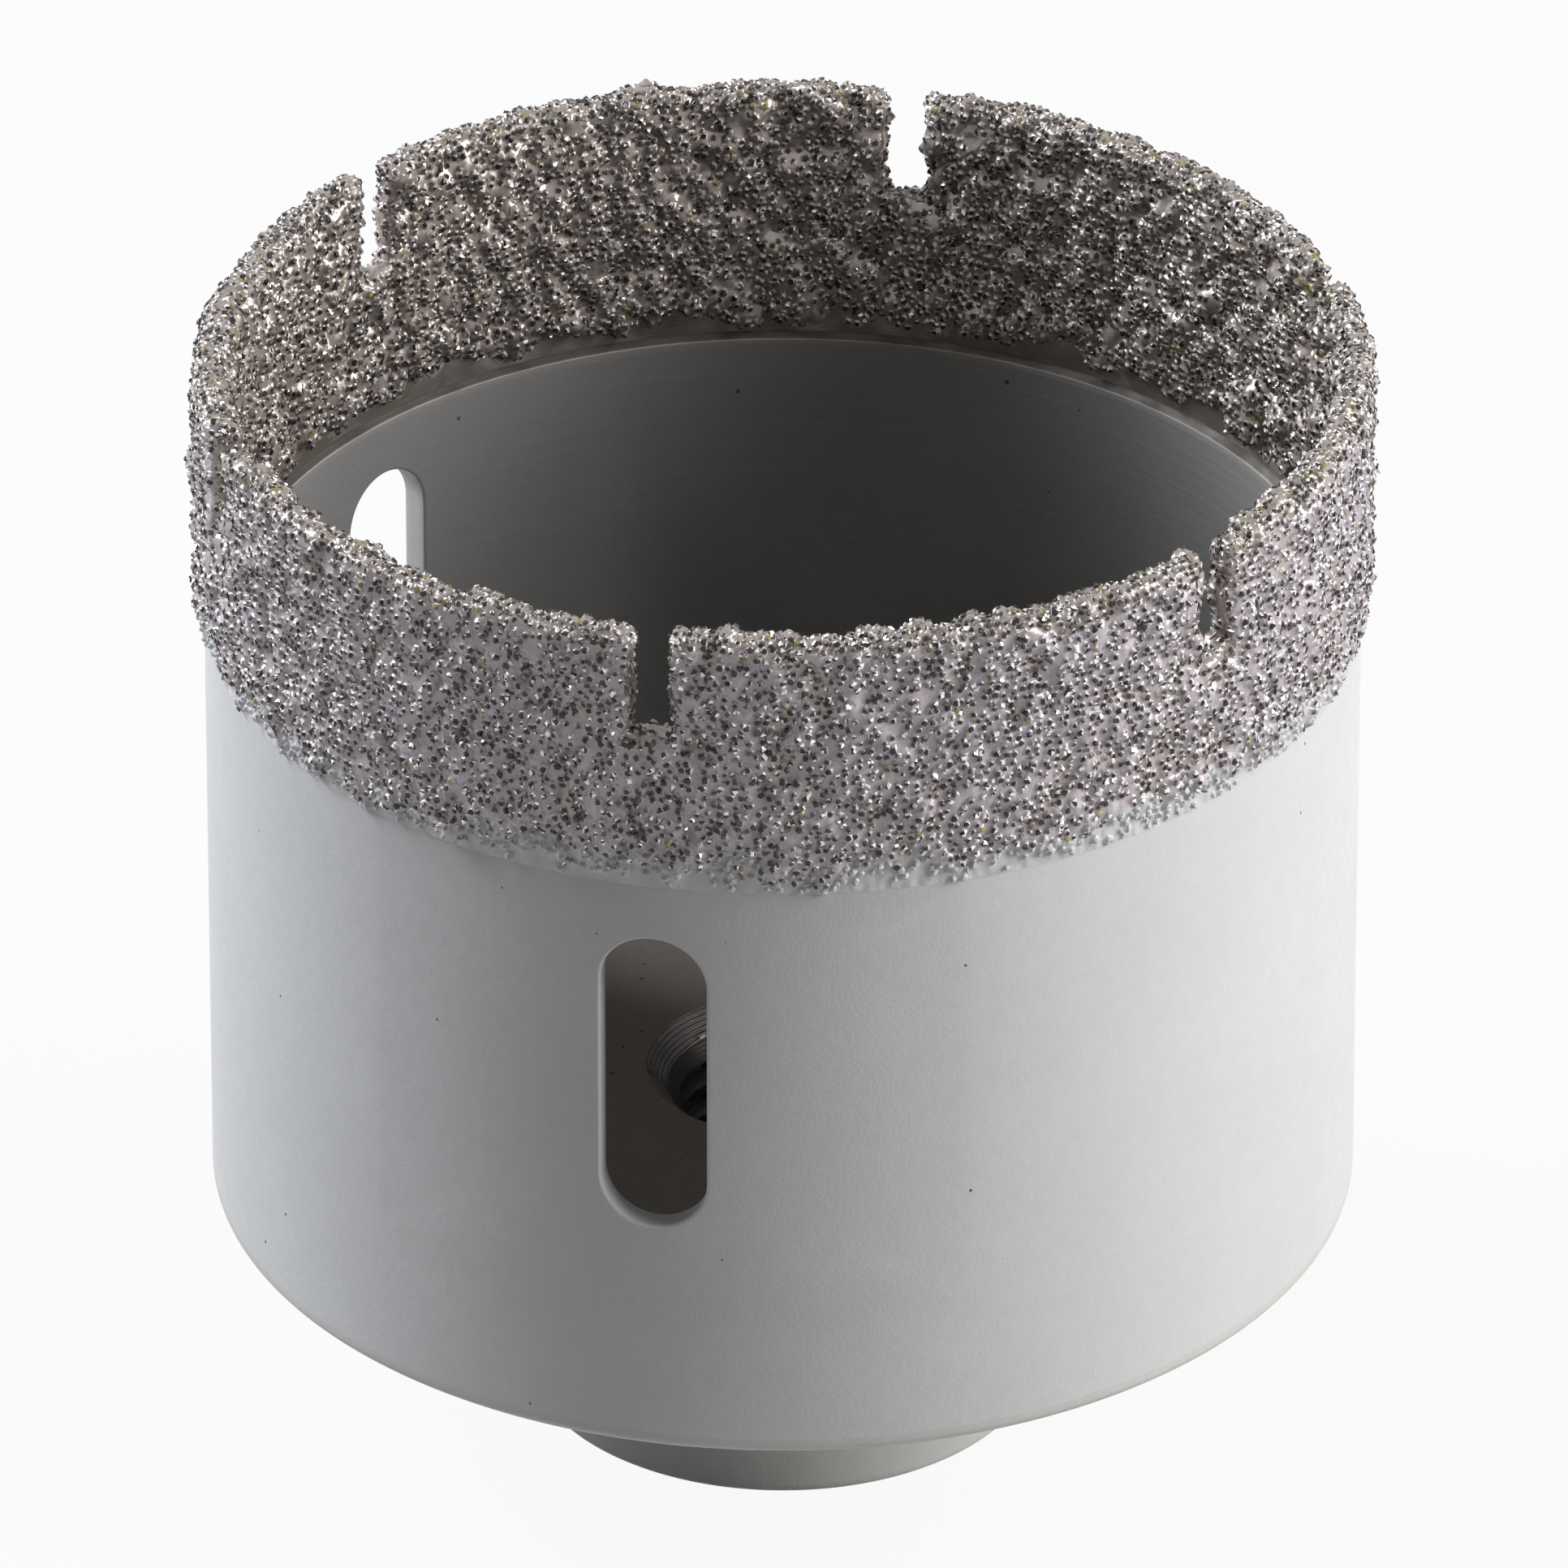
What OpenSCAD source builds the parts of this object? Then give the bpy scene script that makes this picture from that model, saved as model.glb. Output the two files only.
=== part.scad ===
// Diamond core bit for an angle grinder: a steel tube on a threaded hub, with brazed grit round its rim.
// Millimetres, +Z up. The origin is the centre of the hub's bottom face, on the axis of the thread.
// The bit stands on its hub with the cutting rim upwards, and its first slot and notch face -Y.

/* [Hub] */
// Outer diameter of the hub
hub_d = 30; // [22:0.5:36]
// Height of the hub, from its bottom face up to the flange
hub_h = 14.1; // [8:0.1:20]
// Radius of the round on the hub's lower edge
hub_round = 0.8; // [0.2:0.1:2]
// Radius of the fillet between the hub and the flange
hub_fillet = 1; // [0.3:0.1:2.5]

/* [Thread] */
// Nominal diameter of the spindle thread
thread_d = 14; // [10:1:16]
// Pitch of the spindle thread
thread_pitch = 2; // [1:0.25:2.5]
// Mouth diameter of the countersink in the hub's bottom face
outer_sink_d = 15; // [14.2:0.1:18]
// Mouth diameter of the countersink in the floor inside the tube
inner_sink_d = 16; // [14.2:0.1:20]

/* [Flange] */
// Height of the flange's edge, which the tube stands on
flange_h = 1; // [1:0.1:3]
// Radius of the round on the flange's lower edge
flange_round = 0.7; // [0.2:0.1:0.9]
// Height of the spigot that stands up inside the tube
spigot_h = 5.2; // [3:0.1:10]
// Chamfer round the spigot's upper edge
spigot_chamfer = 0.4; // [0.1:0.1:1]
// Gap between the spigot and the tube
spigot_gap = 0.05; // [0.02:0.01:0.2]

/* [Tube] */
// Outer diameter of the tube
tube_d = 66.6; // [50:0.1:90]
// Thickness of the tube's wall
tube_wall = 1.6; // [1.4:0.05:3]
// Length of the tube
tube_h = 51.9; // [50:0.1:80]
// Depth of the step inside the rim, where the wall is thinned for the grit
step_depth = 0.5; // [0.2:0.05:0.7]
// Height of the thinned band, from the steel rim down to the step
step_h = 15.9; // [13:0.1:18]
// Height of the slope that leads from the wall to the thinned band
step_slope_h = 0.3; // [0.1:0.05:0.8]
// Radius of the rounds on the steel rim
rim_round = 0.5; // [0.1:0.05:0.5]

/* [Slots] */
// Number of ejection slots
slot_count = 3; // [2:1:4]
// Width of a slot
slot_w = 6.2; // [4:0.1:9]
// Height of a slot, over its round ends
slot_h = 18.9; // [12:0.1:20]
// Height of a slot's lower end above the tube's lower end
slot_rise = 13.7; // [11:0.1:14.5]

/* [Notches] */
// Number of notches in the rim
notch_count = 6; // [3:1:12]
// Width of a notch between its coated walls
notch_w = 2.4; // [1.6:0.1:4]
// Depth of a notch below the coated rim
notch_depth = 6.8; // [3:0.1:10]
// Radius in the two corners of a notch's floor
notch_corner = 0.4; // [0.1:0.1:0.8]
// Radius of the rounds at a notch's mouth
notch_flare = 0.6; // [0.2:0.1:1]

/* [Grit] */
// Thickness of the coat outside the rim and over it
coat_t = 0.7; // [0.5:0.05:1.2]
// Thickness of the coat inside the rim
coat_inner_t = 0.65; // [0.5:0.05:1.2]
// Thickness of the coat on the walls of a notch
coat_notch_t = 0.6; // [0.3:0.05:1]
// Height of the coat outside, from the coated rim down to its lower edge
coat_h = 16.4; // [12:0.1:17]
// Bare band inside, between the step and the coat's lower edge
bare_h = 0.4; // [0.2:0.1:2]
// Depth of the hollows between the coarse grains
grit_relief = 0.4; // [0.05:0.05:0.4]
// Spacing of the coarse grains
grit_pitch = 1.5; // [1.3:0.1:4]
// How far the coat's two edges wander
edge_wander = 1.1; // [0:0.1:2]
// Seed of the grains' pattern
grit_seed = 11; // [1:1:99]

/* [Hidden] */
$fn = 120;

// What a cutter stands clear of the faces that it opens
cut = 1;
// Steps in the rounds and fillets of an outline
round_steps = 6;
// Depth of an internal thread's profile, as a share of its pitch
thread_share = 1.0825;

thread_minor_d = thread_d - thread_share * thread_pitch;
tube_r = tube_d / 2;
bore_r = tube_r - tube_wall;
spigot_r = bore_r - spigot_gap;

// Levels above the hub's bottom face
flange_z = hub_h;
tube_z = flange_z + flange_h;
floor_z = tube_z + spigot_h;
rim_z = tube_z + tube_h;
step_z = rim_z - step_h;
lip_z = rim_z + coat_t;
slot_z = tube_z + slot_rise;

// The thinned wall at the rim, and the coat's two faces
rim_wall = tube_wall - step_depth;
rim_inner_r = tube_r - rim_wall;
rim_edge_r = min(rim_round, rim_wall / 2 - 0.05);
coat_r = tube_r + coat_t;
coat_inner_r = rim_inner_r - coat_inner_t;

// The coat's round lip
lip_r = (coat_r - coat_inner_r) / 2;
lip_mid_r = (coat_r + coat_inner_r) / 2;
lip_mid_z = lip_z - lip_r;

// The grid of coarse grains: columns round the rim, rows up the outside, over the lip and down the inside
outer_low_z = lip_z - coat_h;
inner_low_z = step_z + step_slope_h + bare_h;
columns = 2 * round(PI * coat_r / grit_pitch);
rows_out = round((lip_mid_z - outer_low_z) / grit_pitch);
rows_lip = max(3, round(PI * lip_r / grit_pitch));
rows_in = round((lip_mid_z - inner_low_z) / grit_pitch);
rows = rows_out + rows_lip + rows_in;
// Share of a grid step by which a grain may stand off its place
grain_shift = 0.28;
// Thickness of the coat at its two ragged edges
edge_t = 0.25;

steel_grey = [0.68, 0.69, 0.70];
hub_grey = [0.62, 0.62, 0.60];
grit_brown = [0.42, 0.39, 0.38];

// Points on an arc about a centre, from one angle to another
function arc(centre, r, from, to) = [
    for (k = [0 : round_steps])
        let (a = from + (to - from) * k / round_steps)
        centre + r * [cos(a), sin(a)]
];

// A mix of two values
function mix(a, b, t) = a + (b - a) * t;

// Outline of the hub, flange and spigot, from the axis outwards and up
hub_outline = concat(
    [[0, 0]],
    arc([hub_d / 2 - hub_round, hub_round], hub_round, -90, 0),
    arc([hub_d / 2 + hub_fillet, flange_z - hub_fillet], hub_fillet, 180, 90),
    arc([tube_r - flange_round, flange_z + flange_round], flange_round, -90, 0),
    [
        [tube_r, tube_z],
        [spigot_r, tube_z],
        [spigot_r, floor_z - spigot_chamfer],
        [spigot_r - spigot_chamfer, floor_z],
        [0, floor_z],
    ]
);

// Section of the tube's wall, with the step and the rounded rim
wall_outline = concat(
    [[bore_r, tube_z], [tube_r, tube_z]],
    arc([tube_r - rim_edge_r, rim_z - rim_edge_r], rim_edge_r, 0, 90),
    arc([rim_inner_r + rim_edge_r, rim_z - rim_edge_r], rim_edge_r, 90, 180),
    [[rim_inner_r, step_z + step_slope_h], [bore_r, step_z]]
);

// A flat shape with round ends, standing on its lower end
module round_ended(w, h) {
    translate([-w / 2, w / 2]) square([w, h - w]);
    translate([0, w / 2]) circle(d = w);
    translate([0, h - w / 2]) circle(d = w);
}

// Right side of a notch: a rounded corner on its floor, a rounded mouth, and an end above the rim
function notch_side(half_w, h, corner, flare) = concat(
    arc([half_w - corner, corner], corner, -90, 0),
    flare > 0 ? arc([half_w + flare, h - flare], flare, 180, 90) : [],
    [[half_w + flare, h + 2 * cut]]
);

// The whole outline of a notch, from its right side and its mirror
function notch_outline(side) = concat(
    side,
    [for (k = [len(side) - 1 : -1 : 0]) [-side[k][0], side[k][1]]]
);

// Copies of a flat shape round the axis, each pushed through the wall from a level upwards
module through_wall(count, z) {
    for (k = [0 : count - 1])
        rotate([0, 0, k * 360 / count])
            translate([0, -bore_r / 2, z])
                rotate([90, 0, 0])
                    linear_extrude(coat_r + cut - bore_r / 2)
                        children();
}

// The notches as cut in the steel, wider and deeper by the coat that lines them
module steel_notches() {
    side = notch_side(
        notch_w / 2 + coat_notch_t,
        notch_depth + coat_notch_t,
        notch_corner + coat_notch_t,
        0
    );
    through_wall(notch_count, lip_z - notch_depth - coat_notch_t)
        polygon(notch_outline(side));
}

// The notches as they are left between their coated walls
module coated_notches() {
    side = notch_side(notch_w / 2, notch_depth, notch_corner, notch_flare);
    through_wall(notch_count, lip_z - notch_depth)
        polygon(notch_outline(side));
}

// The wall of the tube with its notches, which the coat also fits
module notched_wall() {
    difference() {
        rotate_extrude() polygon(wall_outline);
        steel_notches();
    }
}

module barrel() {
    color(steel_grey)
        difference() {
            notched_wall();
            through_wall(slot_count, slot_z) round_ended(slot_w, slot_h);
        }
}

// A countersink of 90 degrees, with its mouth at the origin and its point towards +Z
module sink(d) {
    depth = (d - thread_minor_d) / 2;
    translate([0, 0, -cut]) cylinder(h = depth + cut, d1 = d + 2 * cut, d2 = thread_minor_d);
}

module base_hub() {
    color(hub_grey)
        difference() {
            rotate_extrude() polygon(hub_outline);
            translate([0, 0, -cut]) cylinder(h = floor_z + 2 * cut, d = thread_minor_d);
            sink(outer_sink_d);
            translate([0, 0, floor_z]) mirror([0, 0, 1]) sink(inner_sink_d);
        }
}

// One random number between 0 and 1 for each corner of the grid, in four sets
function draws(set) = rands(0, 1, columns * (rows + 1), grit_seed + set * 100);
relief_draws = draws(0);
turn_draws = draws(1);
slide_draws = draws(2);
wander_draws = draws(3);
function draw(list, i, j) = list[(i % columns) * (rows + 1) + j];

// Lower edges of the coat in one column
function outer_edge_z(i) = outer_low_z + edge_wander * draw(wander_draws, i, 0);
function inner_edge_z(i) = inner_low_z + edge_wander * draw(wander_draws, i, 1);

// Radius and height on the coat's section: s runs from 0 to rows, and h is the height above the smooth face
function coat_section(i, s, h) =
    s <= rows_out ?
        [coat_r + h, mix(outer_edge_z(i), lip_mid_z, s / rows_out)] :
    s <= rows_out + rows_lip ?
        let (a = 180 * (s - rows_out) / rows_lip)
        [lip_mid_r + (lip_r + h) * cos(a), lip_mid_z + (lip_r + h) * sin(a)] :
        [coat_inner_r - h, mix(lip_mid_z, inner_edge_z(i), (s - rows_out - rows_lip) / rows_in)];

// A point of a column, turned about the axis by a share of a column
function in_column(i, p, turn) =
    let (a = 360 * (i + turn) / columns)
    [p[0] * cos(a), p[0] * sin(a), p[1]];

// A corner of a coarse grain, sunk and shifted by its random numbers
function grain_corner(i, j) =
    let (slide = grain_shift * (2 * draw(slide_draws, i, j) - 1))
    let (turn = grain_shift * (2 * draw(turn_draws, i, j) - 1))
    in_column(i, coat_section(i, j + slide, -grit_relief * draw(relief_draws, i, j)), turn);

// One column of the ring's surface: out of the steel, round the coat, and back into the steel
function coat_column(i) = concat(
    [
        in_column(i, [tube_r - rim_wall / 3, outer_edge_z(i)], 0),
        in_column(i, [tube_r + edge_t, outer_edge_z(i)], 0),
    ],
    [for (j = [1 : rows - 1]) grain_corner(i, j)],
    [
        in_column(i, [rim_inner_r - edge_t, inner_edge_z(i)], 0),
        in_column(i, [rim_inner_r + rim_wall / 3, inner_edge_z(i)], 0),
    ]
);
column_points = rows + 3;

// Two triangles between four corners, split one way or the other in turn
function grid_cell(i, j) =
    let (i2 = (i + 1) % columns, j2 = (j + 1) % column_points)
    let (a = i * column_points + j, b = i * column_points + j2)
    let (c = i2 * column_points + j2, d = i2 * column_points + j)
    (i + j) % 2 == 0 ? [[a, b, c], [a, c, d]] : [[a, b, d], [b, c, d]];

// The closed ring of coarse grit, solid through the steel that it grips
module rough_ring() {
    polyhedron(
        points = [for (i = [0 : columns - 1]) each coat_column(i)],
        faces = [for (i = [0 : columns - 1], j = [0 : column_points - 1]) each grid_cell(i, j)],
        convexity = 6
    );
}

module grit_coat() {
    color(grit_brown)
        difference() {
            rough_ring();
            notched_wall();
            coated_notches();
        }
}

barrel();
base_hub();
grit_coat();
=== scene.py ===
"""Looks of a diamond core bit: its skins, grains, finishes, light and camera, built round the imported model.

Shapes are worked out in millimetres, with +Z up and the axis of the bit on Z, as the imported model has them.
A turn is an angle about that axis in radians, from -Y, where the first slot and notch are, towards +X.
"""

import logging
import math
from dataclasses import dataclass, field, replace
from enum import Enum, IntEnum

import bmesh
import bpy
import numpy as np
from bpy.types import ID, Material, Mesh, NodeSocket, NodeTree
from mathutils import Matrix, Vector


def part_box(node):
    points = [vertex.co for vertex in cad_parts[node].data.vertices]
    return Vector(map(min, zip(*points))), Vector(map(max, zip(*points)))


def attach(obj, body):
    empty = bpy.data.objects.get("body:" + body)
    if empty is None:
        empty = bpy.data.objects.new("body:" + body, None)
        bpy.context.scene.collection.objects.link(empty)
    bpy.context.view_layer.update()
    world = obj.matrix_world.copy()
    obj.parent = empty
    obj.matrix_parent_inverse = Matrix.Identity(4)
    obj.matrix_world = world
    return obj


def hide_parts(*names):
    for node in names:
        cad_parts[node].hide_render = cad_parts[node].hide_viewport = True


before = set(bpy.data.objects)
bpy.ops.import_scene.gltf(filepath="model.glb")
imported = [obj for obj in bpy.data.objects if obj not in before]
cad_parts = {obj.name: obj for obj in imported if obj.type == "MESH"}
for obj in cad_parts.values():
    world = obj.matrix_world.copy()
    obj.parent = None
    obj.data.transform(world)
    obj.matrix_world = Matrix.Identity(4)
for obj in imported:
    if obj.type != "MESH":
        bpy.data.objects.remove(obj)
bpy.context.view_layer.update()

MM = 0.001
SECTORS = 6
SECTOR_TURN = 2 * math.pi / SECTORS

# Points nearer than about this, in millimetres, are welded; heights nearer than the slack count as the same
WELD_STEP = 1.37e-3
SLACK = 1e-6

# Steps on a small round, and on the rounds along the coat's notches
ROUND_STEPS = 4
EDGE_STEPS = 5

# Edges sharper than this are shaded as edges; the braze's lumps stay smooth up to a higher angle
SHARP_ANGLE = math.radians(40)
LUMP_SHARP_ANGLE = math.radians(75)

# Tints of the grains' facets: from the first number a facet is coloured near white, a painted glint, and from
# the second it is yellow
GLINT_FROM = 0.89
YELLOW_FROM = 0.97
GLINT_TINT = (GLINT_FROM + YELLOW_FROM) / 2
YELLOW_TINT = 1.0

# Depth of a metric thread as a share of its pitch
THREAD_DEPTH = 0.54125

# Thickness of the flange under the tube, and height of the grains' tips over the steel's rim, in millimetres
FLANGE_T = 1.0
LIP_RISE = 0.7

Array = np.ndarray
Colour = tuple[float, float, float]

LOG = logging.getLogger("core_bit")


class Node(Enum):
    """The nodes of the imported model."""

    BARREL = "barrel"
    HUB = "base_hub"
    COAT = "grit_coat"


class Slot(Enum):
    """The record's material slots."""

    TUBE_PAINT = "tube_paint"
    HUB_PAINT = "hub_paint"
    GRIT = "brazed_grit"


class Mark(Enum):
    """Values that points or faces carry into the materials."""

    PAINTED = "painted"
    TINT = "tint"


class TubeFace(IntEnum):
    """The tube's kinds of face, numbered as its materials."""

    OUTSIDE = 0
    BORE = 1
    BARE_BAND = 2
    # The step's rounded edge is coloured bright, a painted highlight; its slope is coloured dark, painted
    # shade
    EDGE_HIGHLIGHT = 3
    SLOPE = 4


class HubFace(IntEnum):
    """The hub's kinds of face, numbered as its materials."""

    OUTSIDE = 0
    FLOOR = 1
    COUNTERSINK = 2
    THREAD = 3


class CoatFace(IntEnum):
    """The coat's kinds of face, numbered as its materials."""

    BRAZE = 0
    GRAIN = 1


# Points and surfaces


def place(turn: Array, radius: Array, height: Array) -> Array:
    """Gives the points at turns, radii and heights: x = r sin(turn), y = -r cos(turn), z = height."""
    turn, radius, height = np.broadcast_arrays(turn, radius, height)
    return np.stack([radius * np.sin(turn), -radius * np.cos(turn), height], axis=-1)


def turned(points: Array, turn: float) -> Array:
    """Turns points about the axis: x' = x cos(turn) - y sin(turn), y' = x sin(turn) + y cos(turn)."""
    c, s = math.cos(turn), math.sin(turn)
    return points @ np.array([[c, s, 0], [-s, c, 0], [0, 0, 1]])


def unit(vectors: Array) -> Array:
    """Gives vectors of length 1: each vector divided by its length."""
    return vectors / np.maximum(np.linalg.norm(vectors, axis=-1, keepdims=True), 1e-12)


def eased(share: Array) -> Array:
    """Eases a share from 0 to 1: 3 t^2 - 2 t^3, held at its two ends."""
    t = np.clip(share, 0.0, 1.0)
    return t * t * (3.0 - 2.0 * t)


@dataclass(frozen=True)
class Waves:
    """Smooth noise in space: a sum of sine waves of random direction, phase and length.

    Attributes:
        length: typical length of a wave, in millimetres.
        seed: seed of the random directions and phases.
        count: number of waves.
        stretch: how many times longer the waves are along Z than across it.
    """

    length: float
    seed: int
    count: int = 40
    stretch: float = 1.0

    def at(self, points: Array) -> Array:
        """Gives the noise at points: the sum of sin(k.p + phase), scaled to a spread of about 1.

        Args:
            points: points in millimetres, with x, y and z as the last dimension.

        Returns:
            One value for each point.
        """
        rng = np.random.default_rng(self.seed)
        directions = unit(rng.normal(size=(self.count, 3)))
        lengths = self.length * rng.uniform(0.75, 1.5, self.count)
        waves = 2 * math.pi * directions / lengths[:, None]
        waves[:, 2] /= self.stretch
        phases = rng.uniform(0, 2 * math.pi, self.count)
        return np.sin(points @ waves.T + phases).sum(axis=-1) * math.sqrt(2 / self.count)


Layers = tuple[tuple[float, Waves], ...]


def layered(layers: Layers, points: Array) -> Array:
    """Gives layers of noise added up at points, each layer times its own height."""
    return sum(height * waves.at(points) for height, waves in layers)


@dataclass(frozen=True)
class Surface:
    """One welded surface.

    Attributes:
        points: points, (n, 3), in millimetres.
        cells: the four corners of each face, (m, 4); two corners in a row may be the same.
        slots: index of each face's material.
        values: values that the points carry, (n, k).
        places: for each patch, the index of the surface's point at each place of its grid.
    """

    points: Array
    cells: Array
    slots: Array
    values: Array
    places: list[Array]

    def normals(self) -> Array:
        """Gives the normals: at each point, the sum of its cells' diagonals' cross products.

        Returns:
            The normals, (n, 3).
        """
        corners = self.points[self.cells]
        across = np.cross(corners[:, 2] - corners[:, 0], corners[:, 3] - corners[:, 1])
        spread = np.repeat(across, 4, axis=0)
        sums = [
            np.bincount(self.cells.ravel(), weights=spread[:, axis], minlength=len(self.points))
            for axis in range(3)
        ]
        return unit(np.stack(sums, axis=1))


@dataclass
class Patchwork:
    """Point grids gathered as the patches of one surface, and welded where their edges meet.

    Attributes:
        value_count: how many values each point carries.
        grids: the patches' points with their values, (rows, columns, 3 + value_count) each.
        cells: their cells.
        slots: the materials of their cells.
    """

    value_count: int = 1
    grids: list[Array] = field(default_factory=list)
    cells: list[Array] = field(default_factory=list)
    slots: list[Array] = field(default_factory=list)

    def padded(self, grid: Array) -> Array:
        """Gives a grid whose points carry all their values, with zeros for those that it lacks."""
        missing = 3 + self.value_count - grid.shape[2]
        return np.concatenate([grid, np.zeros(grid.shape[:2] + (missing,))], axis=2)

    def add(self, grid: Array, slot: int = 0, flip: bool = False) -> None:
        """Adds a patch. Each cell of its grid becomes a face, towards the cross product of columns and rows.

        Args:
            grid: points in millimetres, (rows, columns, 3), with or without their values.
            slot: index of the material of its faces.
            flip: True turns its faces over.
        """
        rows, columns = grid.shape[:2]
        first = sum(done[..., 0].size for done in self.grids)
        index = first + np.arange(rows * columns).reshape(rows, columns)
        corners = [index[:-1, :-1], index[:-1, 1:], index[1:, 1:], index[1:, :-1]]
        cells = np.stack(corners[::-1] if flip else corners, axis=-1).reshape(-1, 4)
        self.grids.append(self.padded(grid))
        self.cells.append(cells)
        self.slots.append(np.full(len(cells), int(slot)))

    def welded(self) -> Surface:
        """Welds the patches: points that round to the same place in space become one point.

        Returns:
            The surface, without the faces that shrink to a line or a point.
        """
        carried = np.concatenate([grid.reshape(-1, grid.shape[2]) for grid in self.grids])
        keys = np.round(carried[:, :3] / WELD_STEP).astype(np.int64)
        _, kept, index = np.unique(keys, axis=0, return_index=True, return_inverse=True)
        index = index.ravel()
        cells = index[np.concatenate(self.cells)]
        corners = (cells != np.roll(cells, -1, axis=1)).sum(axis=1)
        whole = (corners >= 3) & (cells[:, 0] != cells[:, 2]) & (cells[:, 1] != cells[:, 3])
        parts = np.split(index, np.cumsum([grid[..., 0].size for grid in self.grids])[:-1])
        return Surface(
            points=np.ascontiguousarray(carried[kept][:, :3]),
            cells=cells[whole],
            slots=np.concatenate(self.slots)[whole],
            values=np.ascontiguousarray(carried[kept][:, 3:]),
            places=[part.reshape(grid.shape[:2]) for part, grid in zip(parts, self.grids)],
        )


def mesh_of(name: str, points: Array, loops: Array, corners: Array, slots: Array) -> Mesh:
    """Makes a smooth-shaded mesh from arrays.

    Args:
        name: name of the mesh.
        points: points in millimetres, (n, 3).
        loops: the points' indexes of all faces, one face after another.
        corners: number of corners of each face.
        slots: index of each face's material.

    Returns:
        The mesh, in metres.
    """
    mesh = bpy.data.meshes.new(name)
    mesh.vertices.add(len(points))
    mesh.vertices.foreach_set("co", (points * MM).astype(np.float32).ravel())
    mesh.loops.add(len(loops))
    mesh.loops.foreach_set("vertex_index", loops.astype(np.int32))
    mesh.polygons.add(len(corners))
    mesh.polygons.foreach_set("loop_start", (np.cumsum(corners) - corners).astype(np.int32))
    mesh.polygons.foreach_set("material_index", slots.astype(np.int32))
    mesh.update(calc_edges=True)
    mesh.shade_smooth()
    return mesh


def surface_mesh(name: str, surface: Surface) -> Mesh:
    """Makes the mesh of a surface; a cell with two corners in one point becomes a triangle."""
    used = surface.cells != np.roll(surface.cells, -1, axis=1)
    return mesh_of(name, surface.points, surface.cells[used], used.sum(axis=1), surface.slots)


def shell_mesh(name: str, surface: Surface, sharp_angle: float = SHARP_ANGLE) -> Mesh:
    """Makes the mesh of a closed surface.

    Args:
        name: name of the mesh.
        surface: the surface.
        sharp_angle: angle between two faces from which their edge is shaded sharp.

    Returns:
        The mesh, its faces turned outwards and its sharp edges marked.
    """
    mesh = surface_mesh(name, surface)
    shell = bmesh.new()
    shell.from_mesh(mesh)
    bmesh.ops.recalc_face_normals(shell, faces=shell.faces)
    shell.to_mesh(mesh)
    shell.free()
    mesh.set_sharp_from_angle(angle=sharp_angle)
    return mesh


def set_values(mesh: Mesh, mark: Mark, values: Array, domain: str = "POINT") -> None:
    """Gives the mesh's points, or its faces, a value each, under the mark's name."""
    mesh.attributes.new(mark.value, "FLOAT", domain).data.foreach_set("value", values.astype(np.float32))


def finished_piece(mesh: Mesh, materials: list[Material], node: Node) -> None:
    """Puts a mesh in the scene as a piece of the bit and reports it.

    Args:
        mesh: the piece's mesh, in place; the piece takes its name.
        materials: the materials of its faces.
        node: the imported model's node that it stands for.
    """
    for material in materials:
        mesh.materials.append(material)
    piece = bpy.data.objects.new(mesh.name, mesh)
    bpy.context.scene.collection.objects.link(piece)
    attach(piece, "root")
    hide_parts(node.value)
    mesh.calc_loop_triangles()
    LOG.info("%s: %d points, %d triangles", mesh.name, len(mesh.vertices), len(mesh.loop_triangles))


# The notched rim, which the steel wall and the coat's skin share


@dataclass(frozen=True)
class Notch:
    """A notch let in from the rim, with upright sides, a flat floor and two round corners.

    Attributes:
        half_width: distance of its sides from its middle.
        floor_z: height of its floor.
        corner: radius of the two corners on its floor.
        corner_reach: distance beyond the corners over which the grid lines straighten again.
    """

    half_width: float
    floor_z: float
    corner: float
    corner_reach: float = 0.8

    def offsets(self, side: Array, height: Array) -> tuple[Array, Array]:
        """Gives how far points lie beside and below the centres of the two corners."""
        return np.abs(side) - (self.half_width - self.corner), self.floor_z + self.corner - height

    def clearance(self, side: Array, height: Array) -> Array:
        """Gives how far points lie outside the notch: the signed distance to an open box with round corners.

        Args:
            side: distances from the notch's middle.
            height: heights.

        Returns:
            The distances, below 0 inside the notch.
        """
        beside, below = self.offsets(side, height)
        outside = np.hypot(np.maximum(beside, 0), np.maximum(below, 0))
        return outside + np.minimum(np.maximum(beside, below), 0) - self.corner

    def rounded(self, side: Array, height: Array) -> tuple[Array, Array]:
        """Bends square grid lines round the two corners.

        A point beside and below a corner's centre moves along the line to that centre, until its distance is
        the longer of its two offsets. The move fades out over the reach beyond the corner.

        Args:
            side: distances from the notch's middle, with their signs.
            height: heights.

        Returns:
            The new distances and heights.
        """
        beside, below = (np.maximum(offset, 0) for offset in self.offsets(side, height))
        longer = np.maximum(beside, below)
        distance = np.maximum(np.hypot(beside, below), 1e-9)
        share = np.clip((self.corner + self.corner_reach - longer) / self.corner_reach, 0, 1)
        pull = share * (longer / distance - 1)
        pull[(beside == 0) | (below == 0)] = 0
        return side + np.sign(side) * beside * pull, height - below * pull


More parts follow.
